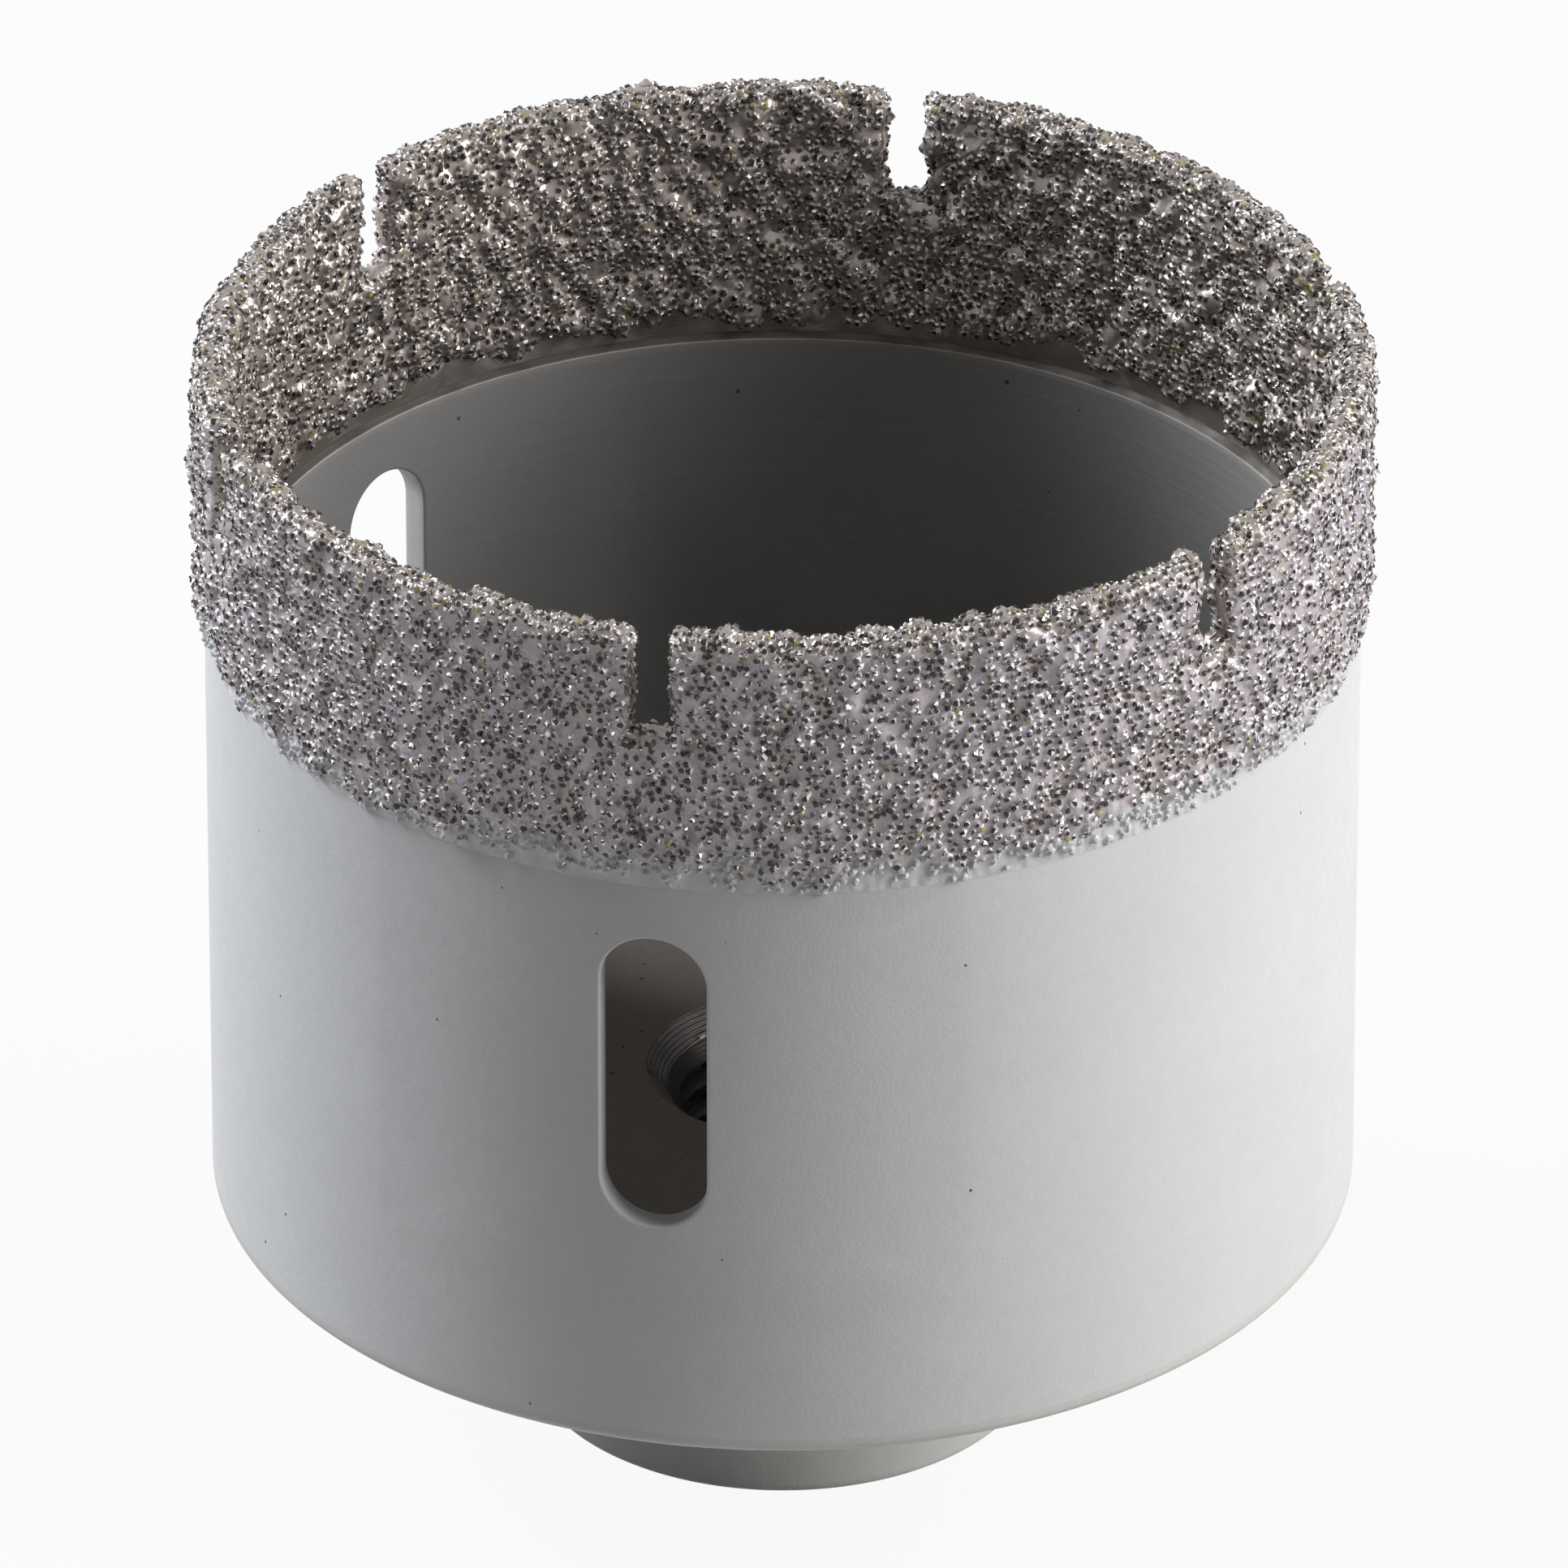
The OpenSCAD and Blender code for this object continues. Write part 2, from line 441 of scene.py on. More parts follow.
def notch_columns(notch: Notch, reach: float, step: float, edge_round: float) -> tuple[Array, int, int]:
    """Places the upright grid lines of one sector, which has the notch in its middle.

    Args:
        notch: the notch.
        reach: distance of the sector's last line from the middle.
        step: distance between lines.
        edge_round: radius of the rounds along the notch; lines stand at even angles on them.

    Returns:
        The lines' distances from the middle, and the indexes of the two that run along the notch's sides.
    """
    half = notch.half_width
    inside = np.linspace(0, half, max(2, round(half / step)) + 1)[:-1]
    angles = np.linspace(math.pi / 2, 0, EDGE_STEPS + 1 if edge_round else 1)
    edge = half + edge_round * (1 - np.sin(angles))
    rest = reach - edge[-1]
    outside = edge[-1] + rest * np.linspace(0, 1, round(rest / step) + 1)[1:]
    right = np.concatenate([inside, edge, outside])
    sides = np.concatenate([-right[:0:-1], right])
    middle = len(right) - 1
    return sides, middle - len(inside), middle + len(inside)


@dataclass(frozen=True)
class RimSkin:
    """One sector of a skin that climbs a wall's outer face, crosses its rim and goes down its inner face.

    Attributes:
        notch: the notch in the sector's middle.
        sides: distances of the upright grid lines from the notch's middle.
        left: index of the line along the notch's left side.
        right: index of the line along its right side.
        radius: radius of each row and line, (rows, lines).
        height: height of each row and line, (rows, lines).
        outer_floor: row at the notch's floor on the outer face.
        inner_floor: row at the notch's floor on the inner face.
        edge_round: radius of the rounds along the notch's edges; 0 for sharp edges.
        facing: the section's outward normal in each row, for the rounds, as radius and height, (rows, 2).
    """

    notch: Notch
    sides: Array
    left: int
    right: int
    radius: Array
    height: Array
    outer_floor: int
    inner_floor: int
    edge_round: float = 0.0
    facing: Array | None = None

    def turns(self, side: Array, radius: Array) -> Array:
        """Gives the turns of points from the notch's middle.

        Within the notch's width a point keeps its distance from the middle plane, so that the notch's sides
        are flat. Beyond it the turn grows evenly up to the sector's edge.

        Args:
            side: distances from the notch's middle.
            radius: radii of the points.

        Returns:
            The turns.
        """
        half = self.notch.half_width
        edge = np.arcsin(half / radius)
        share = (np.abs(side) - half) / (self.sides[-1] - half)
        beyond = np.sign(side) * (edge + share * (SECTOR_TURN / 2 - edge))
        within = np.arcsin(np.clip(side, -half, half) / radius)
        return np.where(np.abs(side) <= half, within, beyond)

    def grid(self) -> tuple[Array, Array, Array]:
        """Works out the sector's turns, radii and heights.

        The grid lines bend round the notch's corners. Then each point near the notch sinks along its face's
        normal by r - sqrt(r^2 - (r - d)^2), a quarter circle of radius r, at a distance d from the notch.

        Returns:
            Turns, radii and heights, (rows, lines) each.
        """
        side, height = self.notch.rounded(np.broadcast_to(self.sides, self.height.shape), self.height)
        turn = self.turns(side, self.radius)
        if not self.edge_round:
            return turn, self.radius, height
        missing = np.clip(self.edge_round - self.notch.clearance(side, height), 0, self.edge_round)
        depth = self.edge_round - np.sqrt(self.edge_round**2 - missing**2)
        radius = self.radius - depth * self.facing[:, :1]
        return self.turns(side, radius), radius, height - depth * self.facing[:, 1:]

    def lay(self, patches: Patchwork, grid: Array, across: int, first: int, last: int, flip: bool = False,
            slots: tuple[int, int] = (0, 0)) -> None:
        """Adds the sector's patches: its faces without the notch, the notch's two sides, and its floor.

        The sides and the floor are ruled: straight lines join the notch's edge on the outer face to the point
        of the same height, or the same line, on the inner face.

        Args:
            patches: the patchwork to add to.
            grid: the sector's points, (rows, lines, 3), with or without their values.
            across: number of cells across the notch's sides and floor.
            first: first row.
            last: last row.
            flip: True for the skin of a wall seen from within.
            slots: indexes of the materials on the outer face, and on the inner face and in the notch.
        """
        low, high, left, right = self.outer_floor, self.inner_floor, self.left, self.right
        ridge = (low + high) // 2
        share = np.linspace(0, 1, across + 1)[None, :, None]

        def ruled(outer: Array, inner: Array) -> Array:
            """Joins two rows of points by straight lines."""
            return outer[:, None] * (1 - share) + inner[:, None] * share

        patches.add(grid[first:low + 1], slots[0], flip)
        for patch, over in (
            (grid[low:high + 1, :left + 1], flip),
            (grid[low:high + 1, right:], flip),
            (grid[high:last + 1], flip),
            (ruled(grid[low:ridge + 1, left], grid[high:ridge - 1:-1, left]), flip),
            (ruled(grid[low:ridge + 1, right], grid[high:ridge - 1:-1, right]), not flip),
            (ruled(grid[low, left:right + 1], grid[high, left:right + 1]), not flip),
        ):
            patches.add(patch, slots[1], over)


def arc(centre: tuple[float, float], radius: float, start: float, end: float, steps: int) -> Array:
    """Gives a section's points on an arc, from one angle in degrees to another: centre + r (cos a, sin a)."""
    angles = np.radians(np.linspace(start, end, steps + 1))
    return np.array(centre) + radius * np.stack([np.cos(angles), np.sin(angles)], axis=1)


def upright(radius: float, heights: Array) -> Array:
    """Gives the rows of a section at one radius: the radii and heights, (n, 2)."""
    return np.stack([np.full(len(heights), radius), heights], axis=1)


def rows_at(rows: Array, height: float) -> tuple[int, int]:
    """Gives the first and the last of a section's rows at a height."""
    found = np.flatnonzero(np.abs(rows[:, 1] - height) < SLACK)
    return int(found[0]), int(found[-1])


@dataclass(frozen=True)
class Wall:
    """Sizes of the tube's steel wall.

    Attributes:
        outer_r: radius of its outer face.
        foot_z: height of its lower end.
        rim_z: height of its rim.
        thickness: thickness of the wall.
        step_depth: depth of the step where the wall is thinned for the grit.
        step_z: height of the step's lower edge.
        step_slope: height of the slope up to the thinned band.
        step_edge: width of the rounded edge at the step's foot, which is coloured as a painted highlight.
        rim_round: radius of the rounds on the rim.
        notch: the notches as cut in the steel.
    """

    outer_r: float
    foot_z: float
    rim_z: float
    thickness: float = 1.6
    step_depth: float = 0.5
    step_z: float = 51.1
    step_slope: float = 0.3
    step_edge: float = 0.07
    rim_round: float = 0.5
    notch: Notch = Notch(half_width=1.8, floor_z=60.3, corner=1.0)

    @property
    def bore_r(self) -> float:
        """Radius of the bore below the step."""
        return self.outer_r - self.thickness

    @property
    def thin_r(self) -> float:
        """Radius of the bore above the step."""
        return self.bore_r + self.step_depth

    def rim_section(self, heights: Array) -> Array:
        """Gives the rim's section: up the outer face, over the rim's two rounds and down the inner face.

        Args:
            heights: heights of the rows on the two faces; those on the rounds are left out.

        Returns:
            Radii and heights of the rows.
        """
        low = self.rim_z - self.rim_round
        straight = heights[heights < low - SLACK]
        outer = arc((self.outer_r - self.rim_round, low), self.rim_round, 0, 90, ROUND_STEPS)
        middle = np.array([[(self.outer_r + self.thin_r) / 2, self.rim_z]])
        inner = arc((self.thin_r + self.rim_round, low), self.rim_round, 90, 180, ROUND_STEPS)
        up, down = upright(self.outer_r, straight), upright(self.thin_r, straight[::-1])
        return np.concatenate([up, outer, middle, inner, down])

    def step_section(self) -> Array:
        """Gives the step's section: down the slope to the rounded edge, and over that edge to the bore."""
        return np.array([
            [self.thin_r, self.step_z + self.step_slope],
            [self.bore_r + 0.8 * self.step_edge, self.step_z + 0.3 * self.step_edge],
            [self.bore_r, self.step_z - 0.7 * self.step_edge],
        ])


@dataclass(frozen=True)
class Barrel:
    """The tube: a rolled steel wall with three slots, a thinned and notched rim, and matt paint.

    Attributes:
        wall: the steel wall.
        slot_w: width of a slot.
        slot_h: height of a slot.
        slot_z: height of a slot's lower end.
        slot_round: radius of the broken edge round a slot.
        slot_shares: the slots' grid on a face, as shares of the way out from a slot's edge.
        paint_reach: rows past the middle of a slot's wall that the outside paint reaches.
        band: heights between which the slots' grids lie.
        rim_rows: heights of the rows between the step and the notches.
        line_step: distance between upright grid lines.
    """

    wall: Wall
    slot_w: float = 6.2
    slot_h: float = 18.9
    slot_z: float = 28.8
    slot_round: float = 0.15
    slot_shares: tuple[float, ...] = (1, 0.72, 0.5, 0.34, 0.22, 0.13, 0.07, 0.03, 0.01)
    paint_reach: int = 3
    band: tuple[float, float] = (24.0, 50.6)
    rim_rows: tuple[float, ...] = (54.0, 56.5, 58.5, 59.5)
    line_step: float = 0.95

    def slot_outline(self, share: Array, offset: float) -> tuple[Array, Array]:
        """Gives points round a slot, from its lower end anticlockwise.

        The outline is two half circles joined by straight sides. A share of its length gives an angle and the
        height of the circle's centre, both by straight mixing between the outline's six joints.

        Args:
            share: shares of the outline's length.
            offset: distance outside the slot.

        Returns:
            Distances from the slot's middle, and heights.
        """
        r, straight = self.slot_w / 2, self.slot_h - self.slot_w
        quarter = math.pi * r / 2
        joints = np.cumsum([0, quarter, straight, 2 * quarter, straight, quarter])
        length = share * joints[-1]
        angle = np.radians(np.interp(length, joints, [-90, 0, 0, 180, 180, 270]))
        centre = np.interp(length, joints, [r, r, r + straight, r + straight, r, r])
        return (r + offset) * np.cos(angle), self.slot_z + centre + (r + offset) * np.sin(angle)

    def slot_grid(self, outer: Array, inner: Array) -> Array:
        """Works out the grid of one slot, from the frame round it outside to the frame inside.

        On each face the grid is a mix of the frame and the outline, by shares that crowd at the outline.
        Quarter circles lead from the faces into the slot's wall.

        Args:
            outer: turns and heights of the frame on the outer face, (n, 2).
            inner: those on the inner face, point for point.

        Returns:
            Points, (rows, n, 3).
        """
        steps = np.hypot(*(np.diff(outer, axis=0) * [self.wall.outer_r, 1]).T)
        share = np.concatenate([[0], np.cumsum(steps)]) / steps.sum()
        edge, outer_r, inner_r = self.slot_round, self.wall.outer_r, self.wall.bore_r
        angles = np.linspace(0, math.pi / 2, ROUND_STEPS + 1)
        sinks = edge * (1 - np.cos(angles))
        offsets = edge * (1 - np.sin(angles))
        between = np.linspace(outer_r - edge, inner_r + edge, 4)[1:-1]
        radii = np.concatenate([outer_r - sinks, between, inner_r + sinks[::-1]])
        spread = np.concatenate([offsets, np.zeros(len(between)), offsets[::-1]])
        rows = [(outer, away, outer_r, edge) for away in self.slot_shares]
        rows += [(outer, 0, radius, offset) for radius, offset in zip(radii, spread)]
        rows += [(inner, away, inner_r, edge) for away in self.slot_shares[::-1]]
        grid = []
        for frame_points, away, radius, offset in rows:
            side, height = self.slot_outline(share, offset)
            outline = np.stack([np.arcsin(side / radius), height], axis=1)
            mixed = frame_points * away + outline * (1 - away)
            grid.append(place(mixed[:, 0], radius, mixed[:, 1]))
        return np.stack(grid)

    def section(self) -> tuple[Array, int, int]:
        """Gives the section's rows, from the foot up the outer face, over the rim, and down the bore.

        Returns:
            Radii and heights of the rows, and the outer and inner rows at the notches' floor.
        """
        wall, floor = self.wall, self.wall.notch.floor_z
        corner = floor + wall.notch.corner
        rim_heights = np.concatenate([
            self.rim_rows,
            np.linspace(floor, corner, 5),
            np.linspace(corner, wall.rim_z - wall.rim_round, 6)[1:],
        ])
        band = np.linspace(*self.band, 25)
        foot = np.linspace(wall.foot_z, self.band[0], 5)[:-1]
        outer = np.concatenate([foot, band, [wall.step_z + wall.step_slope]])
        inner = np.concatenate([band[::-1], foot[::-1]])
        rows = np.concatenate([
            upright(wall.outer_r, outer),
            wall.rim_section(rim_heights),
            wall.step_section(),
            upright(wall.bore_r, inner),
        ])
        return rows, *rows_at(rows, floor)

    def build(self, materials: list[Material]) -> None:
        """Builds the tube from six sectors and dresses it.

        Args:
            materials: the paint outside, the thin paint inside, the bare steel between the step and the grit,
            the step's rounded edge with a painted highlight, and the step's slope with painted shade, as
            TubeFace numbers them.
        """
        wall = self.wall
        rows, low, high = self.section()
        sides, left, right = notch_columns(wall.notch, wall.outer_r * SECTOR_TURN / 2, self.line_step, 0)
        shape = (len(rows), len(sides))
        skin = RimSkin(wall.notch, sides, left, right, np.broadcast_to(rows[:, :1], shape),
                       np.broadcast_to(rows[:, 1:], shape), low, high)
        turn, radius, height = skin.grid()
        outer_band, inner_band = self.bands(rows)
        edge_row = inner_band[0] - 2
        patches = Patchwork()
        for sector in range(SECTORS):
            around = turn + sector * SECTOR_TURN
            points = place(around, radius, height)
            faces = (TubeFace.OUTSIDE, TubeFace.BARE_BAND)
            skin.lay(patches, points, across=3, first=outer_band[1], last=edge_row - 1, slots=faces)
            # The step's slope is coloured dark as painted shade, and its rounded edge bright as a painted
            # highlight
            patches.add(points[edge_row - 1:edge_row + 1], slot=TubeFace.SLOPE)
            patches.add(points[edge_row:edge_row + 2], slot=TubeFace.EDGE_HIGHLIGHT)
            patches.add(points[edge_row + 1:inner_band[0] + 1], slot=TubeFace.BORE)
            patches.add(points[:outer_band[0] + 1], slot=TubeFace.OUTSIDE)
            patches.add(points[inner_band[1]:], slot=TubeFace.BORE)
            patches.add(np.stack([points[-1], points[0]]), slot=TubeFace.OUTSIDE)
            if sector % 2:
                patches.add(points[outer_band[0]:outer_band[1] + 1], slot=TubeFace.OUTSIDE)
                patches.add(points[inner_band[0]:inner_band[1] + 1], slot=TubeFace.BORE)
                continue
            outer = frame_round(turn, height, outer_band, False)
            inner = frame_round(turn, height, inner_band, True)
            slot = turned(self.slot_grid(outer, inner), sector * SECTOR_TURN)
            painted = len(slot) // 2 + self.paint_reach
            patches.add(slot[:painted + 1], slot=TubeFace.OUTSIDE)
            patches.add(slot[painted:], slot=TubeFace.BORE)
        finished_piece(shell_mesh("tube", patches.welded()), materials, Node.BARREL)

    def bands(self, rows: Array) -> tuple[tuple[int, int], tuple[int, int]]:
        """Finds the slots' band among a section's rows: the first and last outside, and those in the bore."""
        (outer_low, inner_low), (outer_high, inner_high) = (rows_at(rows, height) for height in self.band)
        return (outer_low, outer_high), (inner_high, inner_low)


def frame_round(turn: Array, height: Array, band: tuple[int, int], falling: bool) -> Array:
    """Reads the edge of a band of a sector's grid, from the middle of its lower side anticlockwise.

    Args:
        turn: the sector's turns, (rows, lines).
        height: its heights.
        band: first and last row of the band.
        falling: True where the rows go down.

    Returns:
        Turns and heights, (n, 2), the last the same as the first.
    """
    grid = np.stack([turn, height], axis=2)[band[0]:band[1] + 1]
    if falling:
        grid = grid[::-1]
    middle = grid.shape[1] // 2
    return np.concatenate([
        grid[0, middle:], grid[1:, -1], grid[-1, -2::-1], grid[-2::-1, 0], grid[0, 1:middle + 1]
    ])


@dataclass(frozen=True)
class Hub:
    """The hub with its flange and spigot, turned from one bar, with a thread through it.

    Attributes:
        flange_r: radius of the flange.
        flange_z: height of the flange's underside.
        seat_z: height of the flange's edge, which the tube stands on.
        floor_z: height of the floor inside the tube.
        hub_r: radius of the hub.
        spigot_r: radius of the spigot inside the tube.
        lower_round: radius of the round on the hub's lower edge.
        fillet: radius of the fillet under the flange.
        flange_round: radius of the round on the flange's lower edge.
        spigot_chamfer: chamfer round the spigot's upper edge.
        thread_r: nominal radius of the thread.
        thread_pitch: pitch of the thread.
        outer_sink_r: mouth radius of the countersink in the bottom face.
        inner_sink_r: mouth radius of the countersink in the floor.
        sink_h: height of the bright band at each countersink.
        columns: number of grid lines round the axis.
        bore_step: height between rows in the bore.
    """

    flange_r: float
    flange_z: float
    seat_z: float
    floor_z: float
    hub_r: float = 15.0
    spigot_r: float = 31.65
    lower_round: float = 0.8
    fillet: float = 1.0
    flange_round: float = 0.7
    spigot_chamfer: float = 0.4
    thread_r: float = 7.0
    thread_pitch: float = 2.0
    outer_sink_r: float = 7.5
    inner_sink_r: float = 8.0
    sink_h: float = 1.25
    columns: int = 216
    bore_step: float = 0.125

    @property
    def crest_r(self) -> float:
        """Radius of the thread's crests."""
        return self.thread_r - THREAD_DEPTH * self.thread_pitch

    def outer_section(self) -> Array:
        """Gives the section outside the bore, from the bottom face's inner edge to the floor's inner edge.

        Returns:
            Radii and heights of its rows.
        """
        edge, fillet, flange = self.lower_round, self.fillet, self.flange_round
        return np.concatenate([
            np.linspace([self.outer_sink_r, 0], [self.hub_r - edge, 0], 5)[:-1],
            arc((self.hub_r - edge, edge), edge, -90, 0, 6),
            np.linspace([self.hub_r, edge], [self.hub_r, self.flange_z - fillet], 6)[1:-1],
            arc((self.hub_r + fillet, self.flange_z - fillet), fillet, 180, 90, 6),
            np.linspace([self.hub_r + fillet, self.flange_z], [self.flange_r - flange, self.flange_z],
                        10)[1:-1],
            arc((self.flange_r - flange, self.flange_z + flange), flange, -90, 0, 8),
            [[self.flange_r, self.seat_z], [self.spigot_r, self.seat_z],
             [self.spigot_r, self.floor_z - self.spigot_chamfer]],
            np.linspace([self.spigot_r - self.spigot_chamfer, self.floor_z],
                        [self.inner_sink_r, self.floor_z], 12),
        ])

    def bore_radius(self, turn: Array, height: Array) -> Array:
        """Gives the bore's radius: the widest of the thread and the two countersinks.

        The thread is a 60 degree profile. Its phase grows by 1 with each pitch of height and falls by 1 with
        each turn. The radius rises by tan 60 with the distance from the crest's flat, up to the root's flat.

        Args:
            turn: turns in radians.
            height: heights.

        Returns:
            The radii.
        """
        phase = np.mod(height / self.thread_pitch - turn / (2 * math.pi), 1)
        distance = np.abs(phase - 0.5) * self.thread_pitch
        flank = self.crest_r + (distance - self.thread_pitch / 8) * math.tan(math.radians(60))
        thread = np.clip(flank, self.crest_r, self.thread_r)
        lower = self.outer_sink_r - height
        upper = self.inner_sink_r - (self.floor_z - height)
        return np.maximum(np.maximum(thread, lower), upper)

    def build(self, materials: list[Material]) -> None:
        """Builds the hub as one closed grid round the axis and dresses it.

        Args:
            materials: the paint outside, darker than the tube's as painted shade; the thin paint on the floor
            inside the tube, its darkness partly painted shade; the bare steel of the countersinks; and the
            steel of the thread, coloured near black as painted shade, as HubFace numbers them.
        """
        turn = np.linspace(0, 2 * math.pi, self.columns + 1)
        turn[-1] = 0
        outer = self.outer_section()
        outside = place(turn[None, :], outer[:, :1], outer[:, 1:])
        heights = np.linspace(self.floor_z, 0, round(self.floor_z / self.bore_step) + 1)[:, None]
        bore = place(turn[None, :], self.bore_radius(turn[None, :], heights), heights)
        spigot = int(np.flatnonzero(outer[:, 1] > self.seat_z)[0])
        patches = Patchwork()
        patches.add(outside[:spigot + 1], slot=HubFace.OUTSIDE)
        patches.add(outside[spigot:], slot=HubFace.FLOOR)
        sink = round(self.sink_h / self.bore_step)
        patches.add(bore[:sink + 1], slot=HubFace.COUNTERSINK)
        patches.add(bore[sink:-sink], slot=HubFace.THREAD)
        patches.add(bore[-sink - 1:], slot=HubFace.COUNTERSINK)
        finished_piece(shell_mesh("hub", patches.welded()), materials, Node.HUB)


# The coat of brazed grit


@dataclass(frozen=True)
class Places:
    """Places of grains on the braze.

    Attributes:
        points: points on the braze, (n, 3).
        normals: the braze's normals there.
        painted: how far each is painted over, from 0 to 1.
        grown: how far the braze has grown to its full thickness there, from 0 to 1.
    """

    points: Array
    normals: Array
    painted: Array
    grown: Array

    def where(self, chosen: Array) -> "Places":
        """Gives the chosen places."""
        return Places(self.points[chosen], self.normals[chosen], self.painted[chosen], self.grown[chosen])

    @staticmethod
    def joined(parts: list["Places"]) -> "Places":
        """Gives all the places of several sets as one set."""
        return Places(*(np.concatenate([getattr(part, name) for part in parts])
                        for name in ("points", "normals", "painted", "grown")))


def scattered(grid: Array, pitch: float, shift: float, rng: np.random.Generator) -> Places:
    """Strews places over a grid of points.

    A hexagonal lattice is laid out in the grid's own lengths, and each of its places is shifted at random.
    The place's point, normal and values are then read from the grid by mixing the corners of its cell.

    Args:
        grid: points, normals, and the values painted and grown, in one array, (rows, columns, 8).
        pitch: distance between places.
        shift: the most that a place is shifted, as a share of the pitch.
        rng: the random numbers.

    Returns:
        The places.
    """
    points = grid[..., :3]
    down = np.concatenate([[0], np.linalg.norm(np.diff(points, axis=0), axis=2).mean(axis=1).cumsum()])
    along = np.concatenate([[0], np.linalg.norm(np.diff(points, axis=1), axis=2).mean(axis=0).cumsum()])
    rows = max(1, round(down[-1] / (pitch * math.sqrt(3) / 2)))
    columns = max(1, round(along[-1] / pitch))
    row, column = np.meshgrid(np.arange(rows) + 0.5, np.arange(columns) + 0.25, indexing="ij")
    column = column + 0.5 * (np.arange(rows) % 2)[:, None]
    row = (row + rng.uniform(-shift, shift, row.shape)) * down[-1] / rows
    column = (column + rng.uniform(-shift, shift, row.shape)) * along[-1] / columns
    i = np.interp(row, down, np.arange(len(down))).ravel()
    j = np.interp(column, along, np.arange(len(along))).ravel()
    i0 = np.minimum(i.astype(int), len(down) - 2)
    j0 = np.minimum(j.astype(int), len(along) - 2)
    u, v = (i - i0)[:, None], (j - j0)[:, None]
    mixed = ((grid[i0, j0] * (1 - v) + grid[i0, j0 + 1] * v) * (1 - u)
             + (grid[i0 + 1, j0] * (1 - v) + grid[i0 + 1, j0 + 1] * v) * u)
    return Places(mixed[:, :3], unit(mixed[:, 3:6]), mixed[:, 6], mixed[:, 7])


@dataclass(frozen=True)
class GrainShape:
    """A diamond grain: a small blunt crystal that stands in a collar of braze drawn up round it.

    Attributes:
        collar_r: radius of the collar on the braze.
        neck_r: radius of the crystal where it leaves the collar.
        neck_h: height of the collar's upper edge above the braze.
        top_r: radius of the crystal's top facet.
        top_h: height of the top facet.
        sink: depth of the collar's foot under the braze.
        lean: how far the top facet may stand to one side.
        collar_tilt: lean of the collar's shading at its upper edge, as the tangent of an angle.
        bright_share: share of grains with painted glints, facets coloured near white.
        bright_facets: number of neighbouring facets, round a grain's side, coloured near white as painted
            glints.
        bright_tops: share of those grains whose top facet is a painted glint too.
        yellow_share: share of yellow grains.
        sizes: smallest and largest size of a grain.
        uneven: how uneven the radii of foot, neck and top, and the heights of neck and top, are.
        twists: how far the points of the neck, and of the top, may turn, in radians.
        painted_loss: share of its height that a grain loses under the paint.
    """

    collar_r: float = 0.40
    neck_r: float = 0.185
    neck_h: float = 0.17
    top_r: float = 0.13
    top_h: float = 0.26
    sink: float = 0.08
    lean: float = 0.05
    collar_tilt: float = 1.4
    bright_share: float = 0.42
    bright_facets: int = 3
    bright_tops: float = 0.4
    yellow_share: float = 0.012
    sizes: tuple[float, float] = (0.72, 1.2)
    uneven: tuple[float, ...] = (0.08, 0.18, 0.35, 0.3, 0.22)
    twists: tuple[float, float] = (0.28, 0.4)
    painted_loss: float = 0.1

    # Corners of a grain's faces: 0-4 the collar's foot, 5-9 the neck, 10-12 the top facet. ROUND gives the
    # place of each side facet in the ring round the crystal; the last face is the top facet
    POINTS = 13
    COLLAR = [[j, (j + 1) % 5, 5 + (j + 1) % 5, 5 + j] for j in range(5)]
    FOOT = [[4, 3, 2, 1, 0]]
    CRYSTAL = [
        [5, 6, 10], [6, 7, 11], [7, 8, 11], [8, 9, 12], [9, 5, 12],
        [6, 11, 10], [8, 12, 11], [5, 10, 12], [10, 11, 12],
    ]
    ROUND = [0, 2, 3, 5, 6, 1, 4, 7]

    def ring(self, places: Places, axes: tuple[Array, Array], angles: Array, radius: Array,
             height: Array) -> Array:
        """Sets a ring of points round each place: p + r (cos a u + sin a v) + h n.

        Args:
            places: the places.
            axes: two directions u and v across each place's normal n.
            angles: angles of the ring's points, (places, points).
            radius: their radii.
            height: their heights above the braze.

        Returns:
            The points, (places, points, 3).
        """
        u, v = axes
        along = (np.cos(angles) * radius)[..., None] * u[:, None]
        across = (np.sin(angles) * radius)[..., None] * v[:, None]
        return places.points[:, None] + (along + across) + height[..., None] * places.normals[:, None]

    def tints(self, count: int, rng: np.random.Generator) -> Array:
        """Draws the tints of the grains' faces: a dark tone each, painted glints on a few facets, or yellow.

        Args:
            count: number of grains.
            rng: the random numbers.

        Returns:
            The tints, (grains, faces).
        """
        sides, faces = len(self.ROUND), len(self.COLLAR + self.FOOT + self.CRYSTAL)
        tint = rng.uniform(0, 0.9, (count, 1)) + rng.uniform(-0.12, 0.12, (count, faces))
        tint = np.clip(tint, 0, GLINT_FROM - 0.01)
        away = (np.array(self.ROUND) - rng.integers(0, sides, (count, 1))) % sides
        tops = rng.uniform(0, 1, (count, 1)) < self.bright_tops
        glints = np.concatenate([away < self.bright_facets, tops], axis=1)
        glints &= rng.uniform(0, 1, (count, 1)) < self.bright_share
        tint[:, -sides - 1:][glints] = GLINT_TINT
        tint[rng.uniform(0, 1, count) < self.yellow_share] = YELLOW_TINT
        return tint

    def corners(self, places: Places, painted: Array, rng: np.random.Generator) -> Array:
        """Works out the grains' points: uneven rings for the collar's foot, the neck and the top facet.

        Args:
            places: where the grains stand.
            painted: how far each is painted over.
            rng: the random numbers.

        Returns:
            The points, (grains, 13, 3).
        """
        count = len(places.points)

        def about(middle: float, spread: float, number: int) -> Array:
            """Draws numbers about a middle value for each grain's points."""
            return middle * rng.uniform(1 - spread, 1 + spread, (count, number))

